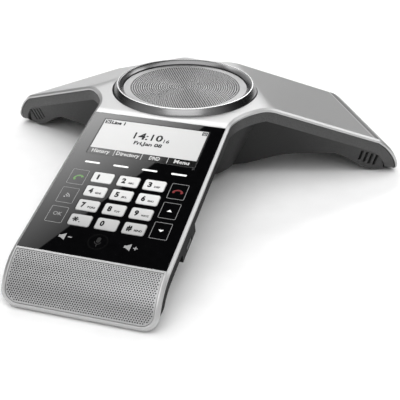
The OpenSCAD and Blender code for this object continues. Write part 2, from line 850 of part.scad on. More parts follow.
speaker_wire_x = [-26, -22];
speaker_wire_r = 0.7;
module speaker_wires() color(copper) placed()
    for (x = speaker_wire_x)
        wire([[x, -71, 37.5], [x, -58, 36], [x, -40, 38.5], [x, -36.6, 45]], speaker_wire_r);

// Microphone leads, from under the main board to each boot
mic_wire_r = 0.6;
module mic_wires() color(copper) placed() {
    wire([[4, -150, 19.5], [4, -165, 12], [0, -184.3, 12.9]], mic_wire_r);
    for (s = [-1, 1])
        wire([[s * 3, -72, 36], [s * 5, -56, 32], [s * 24, -38, 28], [s * 36, -20, 28], [s * 42, -4, 28],
              [s * 58.5, 10.7, 27], [s * 80, 29, 26], [s * 99.3, 40, 22.4], [s * 112.2, 41.7, 15.5],
              [s * 125.2, 37.2, 14.2]], mic_wire_r);
}

top_shell();
lower_housing();
port_block();
speaker_collar();
speaker_grille();
grille_cloth();
speaker_gasket();
speaker_basket();
speaker_magnet();
magnet_top_plate();
magnet_yoke();
voice_coil();
speaker_cone();
dust_cap();
cone_surround();
cone_spider();
front_panel();
display_window();
panel_carrier();
lcd_module();
lcd_backlight();
status_light();
keypad_mat();
keypad_board();
key_1();
key_2();
key_3();
key_4();
key_5();
key_6();
key_7();
key_8();
key_9();
key_star();
key_0();
key_hash();
front_grille();
front_grille_cloth();
main_board();
shield_can();
ethernet_socket();
usb_socket();
foot_front();
foot_left();
foot_right();
mic_front();
mic_left();
mic_right();
mic_boot_front();
mic_boot_left();
mic_boot_right();
housing_screws();
speaker_screws();
board_screws();
lcd_flex();
keypad_flex();
speaker_wires();
mic_wires();
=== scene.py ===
"""Looks of the three-legged conference phone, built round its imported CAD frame.

Lengths in the shape functions are millimetres and become metres in make_piece(). Two frames are used:
the hub frame has the loudspeaker axis at x = y = 0, and the panel frame runs u across, v down the
slope from the panel's top edge and w out of the panel.
"""

import json
import math

import bmesh
import bpy
from mathutils import Matrix, Vector
from mathutils.geometry import delaunay_2d_cdt


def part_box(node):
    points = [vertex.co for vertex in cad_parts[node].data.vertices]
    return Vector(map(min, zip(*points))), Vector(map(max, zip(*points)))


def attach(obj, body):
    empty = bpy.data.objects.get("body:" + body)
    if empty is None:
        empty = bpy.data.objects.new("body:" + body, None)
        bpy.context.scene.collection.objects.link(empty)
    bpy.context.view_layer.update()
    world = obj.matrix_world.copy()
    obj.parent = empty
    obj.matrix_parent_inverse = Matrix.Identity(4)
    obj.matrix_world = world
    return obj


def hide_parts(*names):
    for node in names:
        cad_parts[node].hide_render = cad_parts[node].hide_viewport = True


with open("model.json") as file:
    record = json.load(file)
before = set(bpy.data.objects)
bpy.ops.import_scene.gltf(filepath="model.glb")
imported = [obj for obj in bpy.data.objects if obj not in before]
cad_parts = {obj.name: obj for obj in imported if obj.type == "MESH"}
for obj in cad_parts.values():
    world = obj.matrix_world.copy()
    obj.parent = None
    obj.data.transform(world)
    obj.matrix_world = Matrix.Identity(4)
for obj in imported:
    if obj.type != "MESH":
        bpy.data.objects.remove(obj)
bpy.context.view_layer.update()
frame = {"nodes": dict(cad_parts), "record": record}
nodes = frame["nodes"]

MM = 0.001

# ------------------------------------------------------------------ sizes, mm
GRILLE_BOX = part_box("speaker_grille")
AXIS_X = (GRILLE_BOX[0].x + GRILLE_BOX[1].x) / 2 / MM
AXIS_Y = (GRILLE_BOX[0].y + GRILLE_BOX[1].y) / 2 / MM
HUB_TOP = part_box("top_shell")[1].z / MM
FOOT_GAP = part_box("top_shell")[0].z / MM
COLLAR_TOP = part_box("speaker_collar")[1].z / MM
LEG_HALF = 47.0
CROTCH_R = 47.0
CORNER_R = 10.5
SHELL_T = 2.4
EDGE_W = 2.0
EDGE_DROP = 1.15

PANEL_W, PANEL_L = 90.4, 126.0
PANEL_SLOPE = 15.0
FRONT_FOLD = (178.2, 28.4)
ARM_FOLD = (133.5, 28.8)
ARM_SLOPE, ARM_FOLD_TILT = 21.2, 32.0
FRONT_LEN, ARM_LEN = 200.5, 152.0


def sind(a):
    return math.sin(math.radians(a))


def cosd(a):
    return math.cos(math.radians(a))


# ------------------------------------------------------------- leg side views
class Profile:
    """Side view of a leg's top surface. It is driven by the tilt, which is linear between knots of
    (distance along the surface, degrees), and gives distance out, height and tilt. Past the bottom
    edge it runs on straight for SPARE."""

    STEP = 0.05
    SPARE = 60
    END_TILT = 96

    def __init__(self, slope, blend, fold, fold_tilt, fold_soft, length):
        crease = fold[0] - (HUB_TOP - fold[1]) * cosd(slope) / sind(slope)
        bend = blend / math.radians(slope)
        reach = bend * math.tan(math.radians(slope / 2))
        start = crease - reach
        flat_end = crease + reach * cosd(slope)
        self.fold_t = start + blend + (fold[0] - flat_end) / cosd(slope)
        run, drop = length - fold[0], fold[1]
        radius = (run**2 + drop**2) / (2 * (drop * cosd(fold_tilt) - run * sind(fold_tilt)))
        first = self.fold_t + fold_soft
        knots = [
            (0, 0),
            (start, 0),
            (start + blend, slope),
            (self.fold_t - fold_soft, slope),
            (first, fold_tilt),
            (first + radius * math.radians(self.END_TILT - fold_tilt), self.END_TILT),
        ]
        self.start, self.slope_t = start, start + blend
        self.rows = [(0.0, 0.0, HUB_TOP, 0.0)]
        t, a, z = 0.0, 0.0, HUB_TOP
        while z > FOOT_GAP and t < 400:
            tilt = self.tilt(knots, t + self.STEP / 2)
            t += self.STEP
            a += self.STEP * cosd(tilt)
            z -= self.STEP * sind(tilt)
            self.rows.append((t, a, z, self.tilt(knots, t)))
        t, a, z, tilt = self.rows[-1]
        self.length = t - (FOOT_GAP - z) / sind(tilt)
        self.rows.append((t + self.SPARE, a + self.SPARE * cosd(tilt), z - self.SPARE * sind(tilt), tilt))

    @staticmethod
    def tilt(knots, t):
        for (t0, d0), (t1, d1) in zip(knots, knots[1:]):
            if t <= t1:
                return d0 + (d1 - d0) * max(0.0, t - t0) / (t1 - t0)
        return knots[-1][1]

    def at(self, t):
        i = min(int(max(t, 0) / self.STEP), len(self.rows) - 2)
        r0, r1 = self.rows[i], self.rows[i + 1]
        f = (t - r0[0]) / (r1[0] - r0[0])
        return tuple(p + (q - p) * f for p, q in zip(r0[1:], r1[1:]))

    def stations(self, start, end):
        """Distances from start to end, close together where the surface bends."""
        marks = [start]
        while marks[-1] < end - 0.3:
            t = marks[-1]
            here, ahead = self.at(t)[2], self.at(min(t + 5, end))[2]
            step = 5.0 if abs(ahead - here) < 0.2 else 1.1
            if abs(t - self.fold_t) < 6 and here + ahead > ARM_FOLD_TILT - 12 and ahead - here > 8:
                step = 0.4
            marks.append(min(t + step, end))
        marks[-1] = end
        return marks


FRONT = Profile(PANEL_SLOPE, 6.0, FRONT_FOLD, PANEL_SLOPE, 0.01, FRONT_LEN)
ARM = Profile(ARM_SLOPE, 14.0, ARM_FOLD, ARM_FOLD_TILT, 0.35, ARM_LEN)
LEGS = [(-90.0, FRONT), (30.0, ARM), (150.0, ARM)]


def leg_at(x, y):
    """Leg that a place in the flat plan belongs to."""
    return max(LEGS, key=lambda leg: x * cosd(leg[0]) + y * sind(leg[0]))


def surface(x, y, depth=0.0):
    """Point of the top surface over a place in the flat plan, in which each leg is rolled out straight.
    depth is measured square to the surface, into the body."""
    angle, profile = leg_at(x, y)
    c, s = cosd(angle), sind(angle)
    t, lat = x * c + y * s, y * c - x * s
    a, z, tilt = profile.at(t) if t > 0 else (t, HUB_TOP, 0.0)
    a -= depth * sind(tilt)
    z -= depth * cosd(tilt)
    return (c * a - s * lat, s * a + c * lat, z)


def on_leg(angle, t, lat):
    return (cosd(angle) * t - sind(angle) * lat, sind(angle) * t + cosd(angle) * lat)


def arc(cx, cy, r, a0, a1, n):
    angles = [a0 + (a1 - a0) * i / n for i in range(n + 1)]
    return [(cx + r * cosd(a), cy + r * sind(a)) for a in angles]


def circle(cx, cy, r, n):
    return arc(cx, cy, r, 0, 360, n)[:-1]


FILLET_REACH = (LEG_HALF + CROTCH_R) / sind(60)
TANGENT = FILLET_REACH * cosd(60)


def body_loop(inset):
    """Outline of the whole body in the flat plan, inset all round; every inset gives as many points."""
    half = LEG_HALF - inset
    points = []
    for angle, profile in LEGS:
        corner_t = profile.length - CORNER_R
        corner_lat = LEG_HALF - CORNER_R
        marks = profile.stations(TANGENT, corner_t)
        rim = [(t, -half) for t in marks]
        rim += arc(corner_t, -corner_lat, CORNER_R - inset, -90, 0, 12)[1:]
        rim += [(profile.length - inset, -corner_lat + 2 * corner_lat * i / 18) for i in range(1, 19)]
        rim += arc(corner_t, corner_lat, CORNER_R - inset, 0, 90, 12)[1:]
        rim += [(t, half) for t in reversed(marks[:-1])]
        points += [on_leg(angle, t, lat) for t, lat in rim]
        cx, cy = on_leg(angle + 60, FILLET_REACH, 0)
        points += arc(cx, cy, CROTCH_R + inset, angle - 90, angle - 150, 28)[1:-1]
    return points


def rounded_rect(u0, u1, v0, v1, r_start, r_end, grow=0.0, step=3.0, arc_steps=10):
    """Loop round a rectangle, anticlockwise; r_start rounds the corners at v0 and r_end those at v1."""
    u0, u1, v0, v1 = u0 - grow, u1 + grow, v0 - grow, v1 + grow
    corners = []
    starts = [(u0, v0, r_start, 180), (u1, v0, r_start, 270), (u1, v1, r_end, 0), (u0, v1, r_end, 90)]
    for u, v, r, first in starts:
        r = max(r + grow, 0.0) if r else 0.0
        cu = u + r if u == u0 else u - r
        cv = v + r if v == v0 else v - r
        corners.append(arc(cu, cv, r, first, first + 90, arc_steps) if r else [(u, v)])
    loop = []
    for corner, following in zip(corners, corners[1:] + corners[:1]):
        a, b = corner[-1], following[0]
        du, dv = b[0] - a[0], b[1] - a[1]
        count = max(1, math.ceil(math.hypot(du, dv) / step - 1e-6))
        loop += corner + [(a[0] + du * i / count, a[1] + dv * i / count) for i in range(1, count)]
    return dedupe(loop)


def dedupe(loop):
    out = []
    for p in loop:
        if not out or math.hypot(p[0] - out[-1][0], p[1] - out[-1][1]) > 1e-4:
            out.append(p)
    if math.hypot(out[0][0] - out[-1][0], out[0][1] - out[-1][1]) < 1e-4:
        out.pop()
    return out


# ------------------------------------------------------------- mesh utilities
def inside(point, loop):
    x, y = point
    odd = False
    for (x0, y0), (x1, y1) in zip(loop, loop[1:] + loop[:1]):
        if (y0 > y) != (y1 > y) and x < (x1 - x0) * (y - y0) / (y1 - y0) + x0:
            odd = not odd
    return odd


def chain(loops):
    """Points of closed loops, the edges along them and the number of the loop each point is of."""
    points, edges, owner = [], [], []
    for k, loop in enumerate(loops):
        base = len(points)
        points += loop
        owner += [k] * len(loop)
        edges += [(base + i, base + (i + 1) % len(loop)) for i in range(len(loop))]
    return points, edges, owner


def fill(loops, extra=()):
    """Triangles that fill the first loop less the others, as (points, triangles). The points of the
    loops come first and in order."""
    points, edges, _ = chain(loops)
    points += list(extra)
    out = delaunay_2d_cdt([Vector(p) for p in points], edges, [], 0, 1e-6)
    places, table = out[0], []
    for place, source in zip(places, out[3]):
        table.append(source[0] if source else len(points))
        if not source:
            points.append(tuple(place))
    triangles = []
    for tri in out[2]:
        cx = sum(places[i].x for i in tri) / 3
        cy = sum(places[i].y for i in tri) / 3
        if inside((cx, cy), loops[0]) and not any(inside((cx, cy), hole) for hole in loops[1:]):
            triangles.append([table[i] for i in tri])
    return points, triangles


class Build:
    """Vertices and faces gathered for one piece, in millimetres."""

    def __init__(self):
        self.points, self.faces = [], []

    def add(self, points):
        base = len(self.points)
        self.points += [tuple(p) for p in points]
        return list(range(base, base + len(points)))

    def bridge(self, lower, upper, flip=False):
        n = len(lower)
        for i in range(n):
            j = (i + 1) % n
            quad = (lower[i], lower[j], upper[j], upper[i])
            self.faces.append(quad[::-1] if flip else quad)

    def sheet(self, triangles, top, bottom):
        """Both sides of a sheet whose top and bottom points pair up."""
        self.faces += [tuple(top[i] for i in tri) for tri in triangles]
        self.faces += [tuple(bottom[i] for i in reversed(tri)) for tri in triangles]


def make_piece(name, build, material, body="base", replaces=(), frame_of=None, sharp=35.0):
    """Turns a Build into a finished object that rides on a CAD body."""
    mesh = bpy.data.meshes.new(name)
    place = frame_of or (lambda p: (p[0] + AXIS_X, p[1] + AXIS_Y, p[2]))
    mesh.from_pydata([tuple(c * MM for c in place(p)) for p in build.points], [], build.faces)
    mesh.validate()
    obj = bpy.data.objects.new(name, mesh)
    bpy.context.scene.collection.objects.link(obj)
    finish_mesh(obj, sharp)
    obj.data.materials.append(material)
    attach(obj, body)
    if replaces:
        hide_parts(*replaces)


def finish_mesh(obj, sharp):
    work = bmesh.new()
    work.from_mesh(obj.data)
    bmesh.ops.remove_doubles(work, verts=work.verts, dist=1e-7)
    bmesh.ops.recalc_face_normals(work, faces=work.faces)
    work.to_mesh(obj.data)
    work.free()
    obj.data.polygons.foreach_set("use_smooth", [True] * len(obj.data.polygons))
    obj.data.set_sharp_from_angle(angle=math.radians(sharp))
    weighted = obj.modifiers.new("even_shading", "WEIGHTED_NORMAL")
    weighted.keep_sharp = True
    weighted.weight = 100


def panel_place(p):
    """A point of the panel frame (u across, v down the slope, w out of the panel) in the row frame."""
    u, v, w = p
    y = PANEL_Y - v * cosd(PANEL_SLOPE) - w * sind(PANEL_SLOPE)
    z = PANEL_Z - v * sind(PANEL_SLOPE) + w * cosd(PANEL_SLOPE)
    return (u + AXIS_X, y + AXIS_Y, z)


PANEL_Y = -(FRONT_FOLD[0] - PANEL_L * cosd(PANEL_SLOPE))
PANEL_Z = FRONT_FOLD[1] + PANEL_L * sind(PANEL_SLOPE)


# ------------------------------------------------------------------ materials
def grey(value):
    return (value, value, value)


def shader(name, color, roughness, metallic=0.0, **more):
    """A Principled material, its tree and its shader node."""
    material = bpy.data.materials.new(name)
    material.use_nodes = True
    tree = material.node_tree
    principled = tree.nodes["Principled BSDF"]
    principled.inputs["Base Color"].default_value = (*color, 1)
    principled.inputs["Roughness"].default_value = roughness
    principled.inputs["Metallic"].default_value = metallic
    for key, value in more.items():
        principled.inputs[key.replace("_", " ")].default_value = value
    return material, tree, principled


def feed(tree, socket, value):
    """Links a node's output to a socket, or sets the socket to a number or a vector."""
    if isinstance(value, bpy.types.NodeSocket):
        tree.links.new(value, socket)
    else:
        socket.default_value = value


def calc(tree, operation, *values):
    node = tree.nodes.new("ShaderNodeMath")
    node.operation = operation
    for socket, value in zip(node.inputs, values):
        feed(tree, socket, value)
    return node.outputs[0]


def vector(tree, operation, first, second):
    node = tree.nodes.new("ShaderNodeVectorMath")
    node.operation = operation
    feed(tree, node.inputs[0], first)
    feed(tree, node.inputs["Scale" if operation == "SCALE" else 1], second)
    return node.outputs["Value" if operation in ("DOT_PRODUCT", "DISTANCE") else "Vector"]


def remap(tree, source, low, high, to_low=0.0, to_high=1.0):
    """Stretches low to high of a value onto another range and holds it at both ends."""
    node = tree.nodes.new("ShaderNodeMapRange")
    names = ("Value", "From Min", "From Max", "To Min", "To Max")
    for name, value in zip(names, (source, low, high, to_low, to_high)):
        feed(tree, node.inputs[name], value)
    return node.outputs["Result"]


def axes(tree, source):
    node = tree.nodes.new("ShaderNodeSeparateXYZ")
    tree.links.new(source, node.inputs[0])
    return node.outputs


def object_place(tree):
    return tree.nodes.new("ShaderNodeTexCoord").outputs["Object"]


def face_up(tree):
    """How much a face looks up, from -1 to 1."""
    return axes(tree, tree.nodes.new("ShaderNodeNewGeometry").outputs["True Normal"])["Z"]


def noise(tree, scale, detail=2.0, rough=0.5, stretch=(1, 1, 1)):
    mapping = tree.nodes.new("ShaderNodeMapping")
    mapping.inputs["Scale"].default_value = stretch
    texture = tree.nodes.new("ShaderNodeTexNoise")
    texture.inputs["Scale"].default_value = scale
    texture.inputs["Detail"].default_value = detail
    texture.inputs["Roughness"].default_value = rough
    tree.links.new(object_place(tree), mapping.inputs["Vector"])
    tree.links.new(mapping.outputs["Vector"], texture.inputs["Vector"])
    return texture.outputs["Fac"]


def ramp(tree, source, stops):
    """Colours or greys over a 0 to 1 value."""
    node = tree.nodes.new("ShaderNodeValToRGB")
    elements = node.color_ramp.elements
    while len(elements) < len(stops):
        elements.new(0.5)
    for element, (position, value) in zip(elements, stops):
        element.position = position
        element.color = (value, value, value, 1) if isinstance(value, float) else (*value, 1)
    tree.links.new(source, node.inputs["Fac"])
    return node.outputs["Color"]


def bump(tree, principled, source, strength, distance):
    node = tree.nodes.new("ShaderNodeBump")
    node.inputs["Strength"].default_value = strength
    node.inputs["Distance"].default_value = distance
    tree.links.new(source, node.inputs["Height"])
    tree.links.new(node.outputs["Normal"], principled.inputs["Normal"])


def turned_finish(tree, principled):
    """Grooves that run round the loudspeaker's axis, so that highlights fan out from it."""
    tangent = tree.nodes.new("ShaderNodeTangent")
    tangent.direction_type = "RADIAL"
    tangent.axis = "Z"
    tree.links.new(tangent.outputs["Tangent"], principled.inputs["Tangent"])


def scale_base(material, tone):
    """Multiplies the colour that a material already has by a tone, tone(tree)."""
    tree = material.node_tree
    base = tree.nodes["Principled BSDF"].inputs["Base Color"]
    feed(tree, base, vector(tree, "SCALE", base.links[0].from_socket, tone(tree)))
    return material


HUB = (AXIS_X * MM, AXIS_Y * MM, 0)
# Painted light on the arms: the line 4.2 mm short of the fold is the middle of a painted highlight and the
# painted shade behind it; the second and third tones below are theirs, the first is the arm's own.
PAINTED_CREASE_LINE = ARM_FOLD[0] - 4.2
PLAIN, CREASE_HIGHLIGHT, END_SHADE = 0.5, 0.9, 0.24


def arm_end_painted_light(tree):
    """Painted light over the arms, mostly PLAIN: a painted highlight, a fine bright line just before the
    fold, and behind it painted shade that darkens the end of the arm. Both stop at the bevelled edge."""
    place = axes(tree, vector(tree, "SUBTRACT", object_place(tree), HUB))
    mirrored = tree.nodes.new("ShaderNodeCombineXYZ")
    feed(tree, mirrored.inputs["X"], calc(tree, "ABSOLUTE", place["X"]))
    feed(tree, mirrored.inputs["Y"], place["Y"])
    out = vector(tree, "DOT_PRODUCT", mirrored.outputs[0], (cosd(30), sind(30), 0))
    across = vector(tree, "DOT_PRODUCT", mirrored.outputs[0], (-sind(30), cosd(30), 0))
    span = remap(tree, out, (PAINTED_CREASE_LINE - 2) * MM, (PAINTED_CREASE_LINE + 2) * MM)
    along = ramp(tree, span, [(0.36, PLAIN), (0.42, CREASE_HIGHLIGHT), (0.58, CREASE_HIGHLIGHT), (0.68, END_SHADE)])
    mix = tree.nodes.new("ShaderNodeMix")
    feed(tree, mix.inputs["Factor"], calc(tree, "COMPARE", across, 0.0, (LEG_HALF - EDGE_W) * MM))
    feed(tree, mix.inputs["A"], PLAIN)
    feed(tree, mix.inputs["B"], along)
    return mix.outputs["Result"]


def silver_paint():
    """Pearl silver paint: fine flakes that change its colour and roughness a little."""
    material, tree, p = shader("silver_paint", grey(0.56), 0.34, metallic=0.72)
    flakes = noise(tree, 3800, 2, 0.6)
    mix = calc(tree, "MULTIPLY_ADD", noise(tree, 60, 3, 0.5), 0.25, flakes)
    feed(tree, p.inputs["Base Color"], ramp(tree, mix, [(0.3, 0.88), (0.9, 1.0)]))
    feed(tree, p.inputs["Roughness"], ramp(tree, mix, [(0.3, 0.31), (0.9, 0.40)]))
    bump(tree, p, flakes, 0.10, 0.00002)
    # The arms get a painted highlight along the crease and painted shade on their ends.
    return scale_base(material, arm_end_painted_light)


def spun_metal():
    """Polished collar, turned on a lathe: fine rings, highlights that fan out, and a painted highlight on
    the rim, whose top 0.3 mm is lighter in colour.
    """
    material, tree, p = shader("spun_metal", (0.25, 0.25, 0.252), 0.2, metallic=1.0, Anisotropic=0.8)
    turned_finish(tree, p)
    # Painted highlight: the colour lightens over the collar's top 0.3 mm, a thin bright line round the rim.
    height = remap(tree, axes(tree, object_place(tree))["Z"], (COLLAR_TOP - 0.30) * MM, COLLAR_TOP * MM)
    painted_rim_highlight = [(0.0, (0.22, 0.22, 0.222)), (0.55, (0.25, 0.25, 0.252)), (0.9, 0.72)]
    feed(tree, p.inputs["Base Color"], ramp(tree, height, painted_rim_highlight))
    rings = noise(tree, 900, 2, 0.6, stretch=(0.02, 0.02, 1))
    feed(tree, p.inputs["Roughness"], ramp(tree, rings, [(0.3, 0.16), (0.75, 0.26)]))
    bump(tree, p, rings, 0.12, 0.00002)
    return material


def perforated_metal(name, low, high, turned=0.0):
    """Sheet metal. A turned sheet is finished on a lathe, and the walls of its holes, which stand
    upright, get painted shade that makes them dark, as recesses in shadow."""
    material, tree, p = shader(name, grey(high), 0.38, metallic=0.85, Anisotropic=turned)
    grain = noise(tree, 2500, 2, 0.6)
    feed(tree, p.inputs["Base Color"], ramp(tree, grain, [(0.3, low), (0.8, (high, high, high * 1.01))]))
    feed(tree, p.inputs["Roughness"], ramp(tree, grain, [(0.3, 0.32), (0.8, 0.46)]))
    bump(tree, p, grain, 0.15, 0.00002)
    if turned:
        turned_finish(tree, p)
        # Painted shade: faces that do not look up, the walls of the holes, are darkened nearly to black.
        scale_base(material, lambda t: ramp(t, face_up(t), [(0.3, 0.02), (0.8, 1.0)]))
    return material


def grained_plastic(name, dark, light, roughness=0.42, grain_size=1700, depth=0.00006):
    material, tree, p = shader(name, light, roughness, Specular_IOR_Level=0.3)
    grain = noise(tree, grain_size, 3, 0.55)
    feed(tree, p.inputs["Base Color"], ramp(tree, grain, [(0.3, dark), (0.75, light)]))
    worn = ramp(tree, grain, [(0.25, roughness + 0.1), (0.8, roughness - 0.06)])
    feed(tree, p.inputs["Roughness"], worn)
    bump(tree, p, grain, 0.35, depth)
    return material


# Painted shade, darker towards the user: on the front leg of the housing and over the rows of keys.
FRONT_LEG_PAINTED_SHADE = (-85, -40, 0.12)
KEY_ROW_PAINTED_SHADE = (-158, -124, 0.55)


def painted_shade_toward_user(tree, near, far, least):
    """Painted shade that darkens towards the user: 1 beyond the line y = far, in mm from the
    loudspeaker's axis, and least at y = near, which is nearer the user."""
    y = axes(tree, object_place(tree))["Y"]
    return remap(tree, y, (AXIS_Y + near) * MM, (AXIS_Y + far) * MM, least)


def housing_painted_shade(tree):
    """Painted shade over the housing: upright faces are lighter than those that lean in, the ends of
    the arms lighter than the crotches, and the front leg is the darkest."""
    lean = remap(tree, face_up(tree), -0.36, -0.08, 1.0, 7.0)
    away = vector(tree, "DISTANCE", object_place(tree), HUB)
    reach = remap(tree, away, 0.085, 0.150, 1.0, 6.0)
    return calc(tree, "MULTIPLY", calc(tree, "MAXIMUM", lean, reach), painted_shade_toward_user(tree, *FRONT_LEG_PAINTED_SHADE))


def housing_plastic():
    material = grained_plastic("dark_housing", grey(0.0055), grey(0.0115), 0.46)
    tree = material.node_tree
    # The painted shade on the front leg also dims the housing's gloss towards the user.
    gloss = tree.nodes["Principled BSDF"].inputs["Specular IOR Level"]
    feed(tree, gloss, calc(tree, "MULTIPLY", painted_shade_toward_user(tree, *FRONT_LEG_PAINTED_SHADE), 0.3))
    return scale_base(material, housing_painted_shade)


def gloss_black():
    """Panel glass: black, mirror smooth, with faint smudges in its gloss."""
    material, tree, p = shader("panel_gloss", (0.0012, 0.0012, 0.0014), 0.02, IOR=1.5)
    blacks = [(0.3, (0.0008, 0.0008, 0.001)), (0.8, (0.0016, 0.0016, 0.0019))]
    feed(tree, p.inputs["Roughness"], ramp(tree, noise(tree, 22, 4, 0.55), [(0.35, 0.008), (0.75, 0.022)]))
    feed(tree, p.inputs["Base Color"], ramp(tree, noise(tree, 260, 2, 0.5), blacks))
    return material


def glow(name, color, strength, roughness=0.2, spread=0.04, specular=0.5):
    """Printed or moulded surface. Any emission strength above 0 is painted light: the surface glows though
    no lamp is in it.
    """
    material, tree, p = shader(name, color, roughness, Specular_IOR_Level=specular)
    p.inputs["Emission Strength"].default_value = strength
    p.inputs["Emission Color"].default_value = (*color, 1)
    speckle = noise(tree, 1400, 2, 0.5)
    low = tuple(c * (1 - spread) for c in color)
    feed(tree, p.inputs["Base Color"], ramp(tree, speckle, [(0.3, low), (0.75, color)]))
    feed(tree, p.inputs["Roughness"], ramp(tree, speckle, [(0.3, roughness + 0.05), (0.75, roughness)]))
    return material


SILVER = silver_paint()
SPUN = spun_metal()
GRILLE_METAL = perforated_metal("grille_metal", 0.30, 0.42, turned=0.8)
MESH_METAL = perforated_metal("mesh_metal", 0.35, 0.47)
DARK_SHELL = housing_plastic()
RUBBER = grained_plastic("rubber", grey(0.010), grey(0.022), 0.75, 1200)
BLACK_PLASTIC = grained_plastic("black_plastic", grey(0.012), grey(0.022), 0.5)
CLOTH = grained_plastic("speaker_cloth", grey(0.004), grey(0.012), 0.9, 3500, 0.00012)
GLOSS = gloss_black()
# Painted shade: the white keys darken row by row towards the user.
KEY_WHITE = scale_base(glow("key_white", (0.64, 0.64, 0.635), 0.0, 0.35), lambda t: painted_shade_toward_user(t, *KEY_ROW_PAINTED_SHADE))
LCD_WHITE = glow("lcd_field", (0.535, 0.535, 0.532), 0.0, 0.2, 0.02)
LCD_DARK = glow("lcd_dots", (0.010, 0.010, 0.011), 0.0, 0.3, 0.3, 0.1)
LCD_TAB = glow("lcd_tabs", grey(0.006), 0.0, 0.06, 0.3)
LCD_LIGHT = glow("lcd_light_dots", (0.535, 0.535, 0.532), 0.0, 0.2, 0.02)
# Emission on these prints is painted light, a glow that brightens them.
INK_WHITE = glow("print_white", (0.85, 0.85, 0.84), 0.1)
INK_GREY = glow("print_grey", grey(0.20), 0.03)
INK_SOFT = glow("print_soft", grey(0.27), 0.05)
INK_DIM = glow("print_dim", grey(0.007), 0.0, 0.02)
INK_MUTE = glow("print_mute", grey(0.028), 0.0, 0.02)
INK_GREEN = glow("print_green", (0.09, 0.22, 0.05), 0.02)
INK_RED = glow("print_red", (0.15, 0.004, 0.006), 0.01)
INK_BLACK = glow("legend_black", grey(0.008), 0.0, 0.35, 0.3, 0.08)
STEEL = perforated_metal("plated_steel", 0.50, 0.62)
COPPER = grained_plastic("copper_wire", (0.40, 0.16, 0.06), (0.60, 0.26, 0.10), 0.35)
BOARD = grained_plastic("solder_resist", (0.010, 0.10, 0.035), (0.02, 0.15, 0.05), 0.4, 500)
PAPER = grained_plastic("cone_paper", grey(0.015), grey(0.035), 0.8, 900, 0.0001)
SPIDER = grained_plastic("spider_cloth", (0.42, 0.33, 0.14), (0.60, 0.48, 0.24), 0.85, 1500, 0.0001)
# Its emission is painted light as well.
MILKY = glow("light_guide", (0.80, 0.80, 0.77), 0.1)
FILM = grained_plastic("amber_film", (0.30, 0.13, 0.02), (0.42, 0.19, 0.04), 0.25, 400, 0.00001)
WIRE = grained_plastic("wire_cover", (0.30, 0.02, 0.015), (0.42, 0.035, 0.03), 0.5, 600, 0.00002)
FERRITE = grained_plastic("ferrite", (0.03, 0.03, 0.033), (0.06, 0.06, 0.065), 0.6, 900)

NODE_LOOKS = {
    "silver_shell": SILVER,
    "dark_housing": DARK_SHELL,
    "polished_collar": SPUN,
    "grille_steel": GRILLE_METAL,
    "mesh_steel": MESH_METAL,
    "acoustic_cloth": CLOTH,
    "soft_rubber": RUBBER,
    "plated_steel": STEEL,
    "ferrite": FERRITE,
    "copper": COPPER,
    "cone_paper": PAPER,
    "spider_cloth": SPIDER,
    "gloss_panel": GLOSS,
    "clear_window": LCD_WHITE,
    "black_plastic": BLACK_PLASTIC,
    "display_module": LCD_WHITE,
    "light_guide": MILKY,
    "keypad_silicone": MILKY,
    "circuit_board": BOARD,
    "key_white": KEY_WHITE,
    "screw_steel": STEEL,
    "flex_film": FILM,
    "wire_cover": WIRE,
}
SPECIAL_LOOKS = {"status_light": INK_MUTE, "mic_front": CLOTH, "mic_left": CLOTH, "mic_right": CLOTH}
for part in frame["record"]["subparts"]:
    mesh = nodes[part["node"]].data
    mesh.materials.clear()
    look = SPECIAL_LOOKS.get(part["node"], NODE_LOOKS[part["material_slot"]])
    mesh.materials.append(look)


# ------------------------------------------------------------------ top shell
POCKET_R = 51.8
PANEL_GAP = 0.1
PANEL_T0 = FRONT.fold_t - PANEL_L
GRILLE_T0 = FRONT.fold_t + 1.5
GRILLE_T1 = FRONT.length - 3.4
GRILLE_HALF = 44.2
GRILLE_CORNER = 8.0
GRILLE_STEP = 1.2
RIM_SOFT, RIM_HALFWAY = 0.12, 0.035


def front_plan(loop):
    """Loop given as (across, along the front leg) in the flat plan."""
    return [on_leg(-90, t, u) for u, t in loop]


def shell_holes(grow):
    """Openings of the top shell: the loudspeaker's pocket, the key panel and the front mesh."""
    half = PANEL_W / 2 + PANEL_GAP
    panel = rounded_rect(-half, half, PANEL_T0 - PANEL_GAP, FRONT.fold_t + PANEL_GAP, 0, 0, grow)
    mesh = rounded_rect(
        -GRILLE_HALF, GRILLE_HALF, GRILLE_T0, GRILLE_T1, 0.6, GRILLE_CORNER, grow, GRILLE_STEP
    )
    return [circle(0, 0, POCKET_R + grow, 144), front_plan(panel), front_plan(mesh)]


def bend_points(holes):
    """Places across each leg where its surface bends, clear of the outline and of the holes."""
    points = []
    for angle, profile in LEGS:
        rows = profile.stations(profile.start - 6, profile.slope_t + 6)
        if profile is ARM:
            rows += profile.stations(profile.fold_t - 4, profile.length - EDGE_W - 0.6)
        for t in rows:
            past = t - (profile.length - CORNER_R)
            for lat in range(-44, 45, 4):
                x, y = on_leg(angle, t, lat)
                beside = abs(lat) - (LEG_HALF - CORNER_R)
                clear = CORNER_R - EDGE_W - 0.4
                if past > 0 and beside > 0 and math.hypot(past, beside) > clear:
                    continue
                if leg_at(x, y)[0] != angle or math.hypot(x, y) <= POCKET_R + 0.6:
                    continue
                if not any(inside((x, y), hole) for hole in holes):
                    points.append((x, y))
    return points


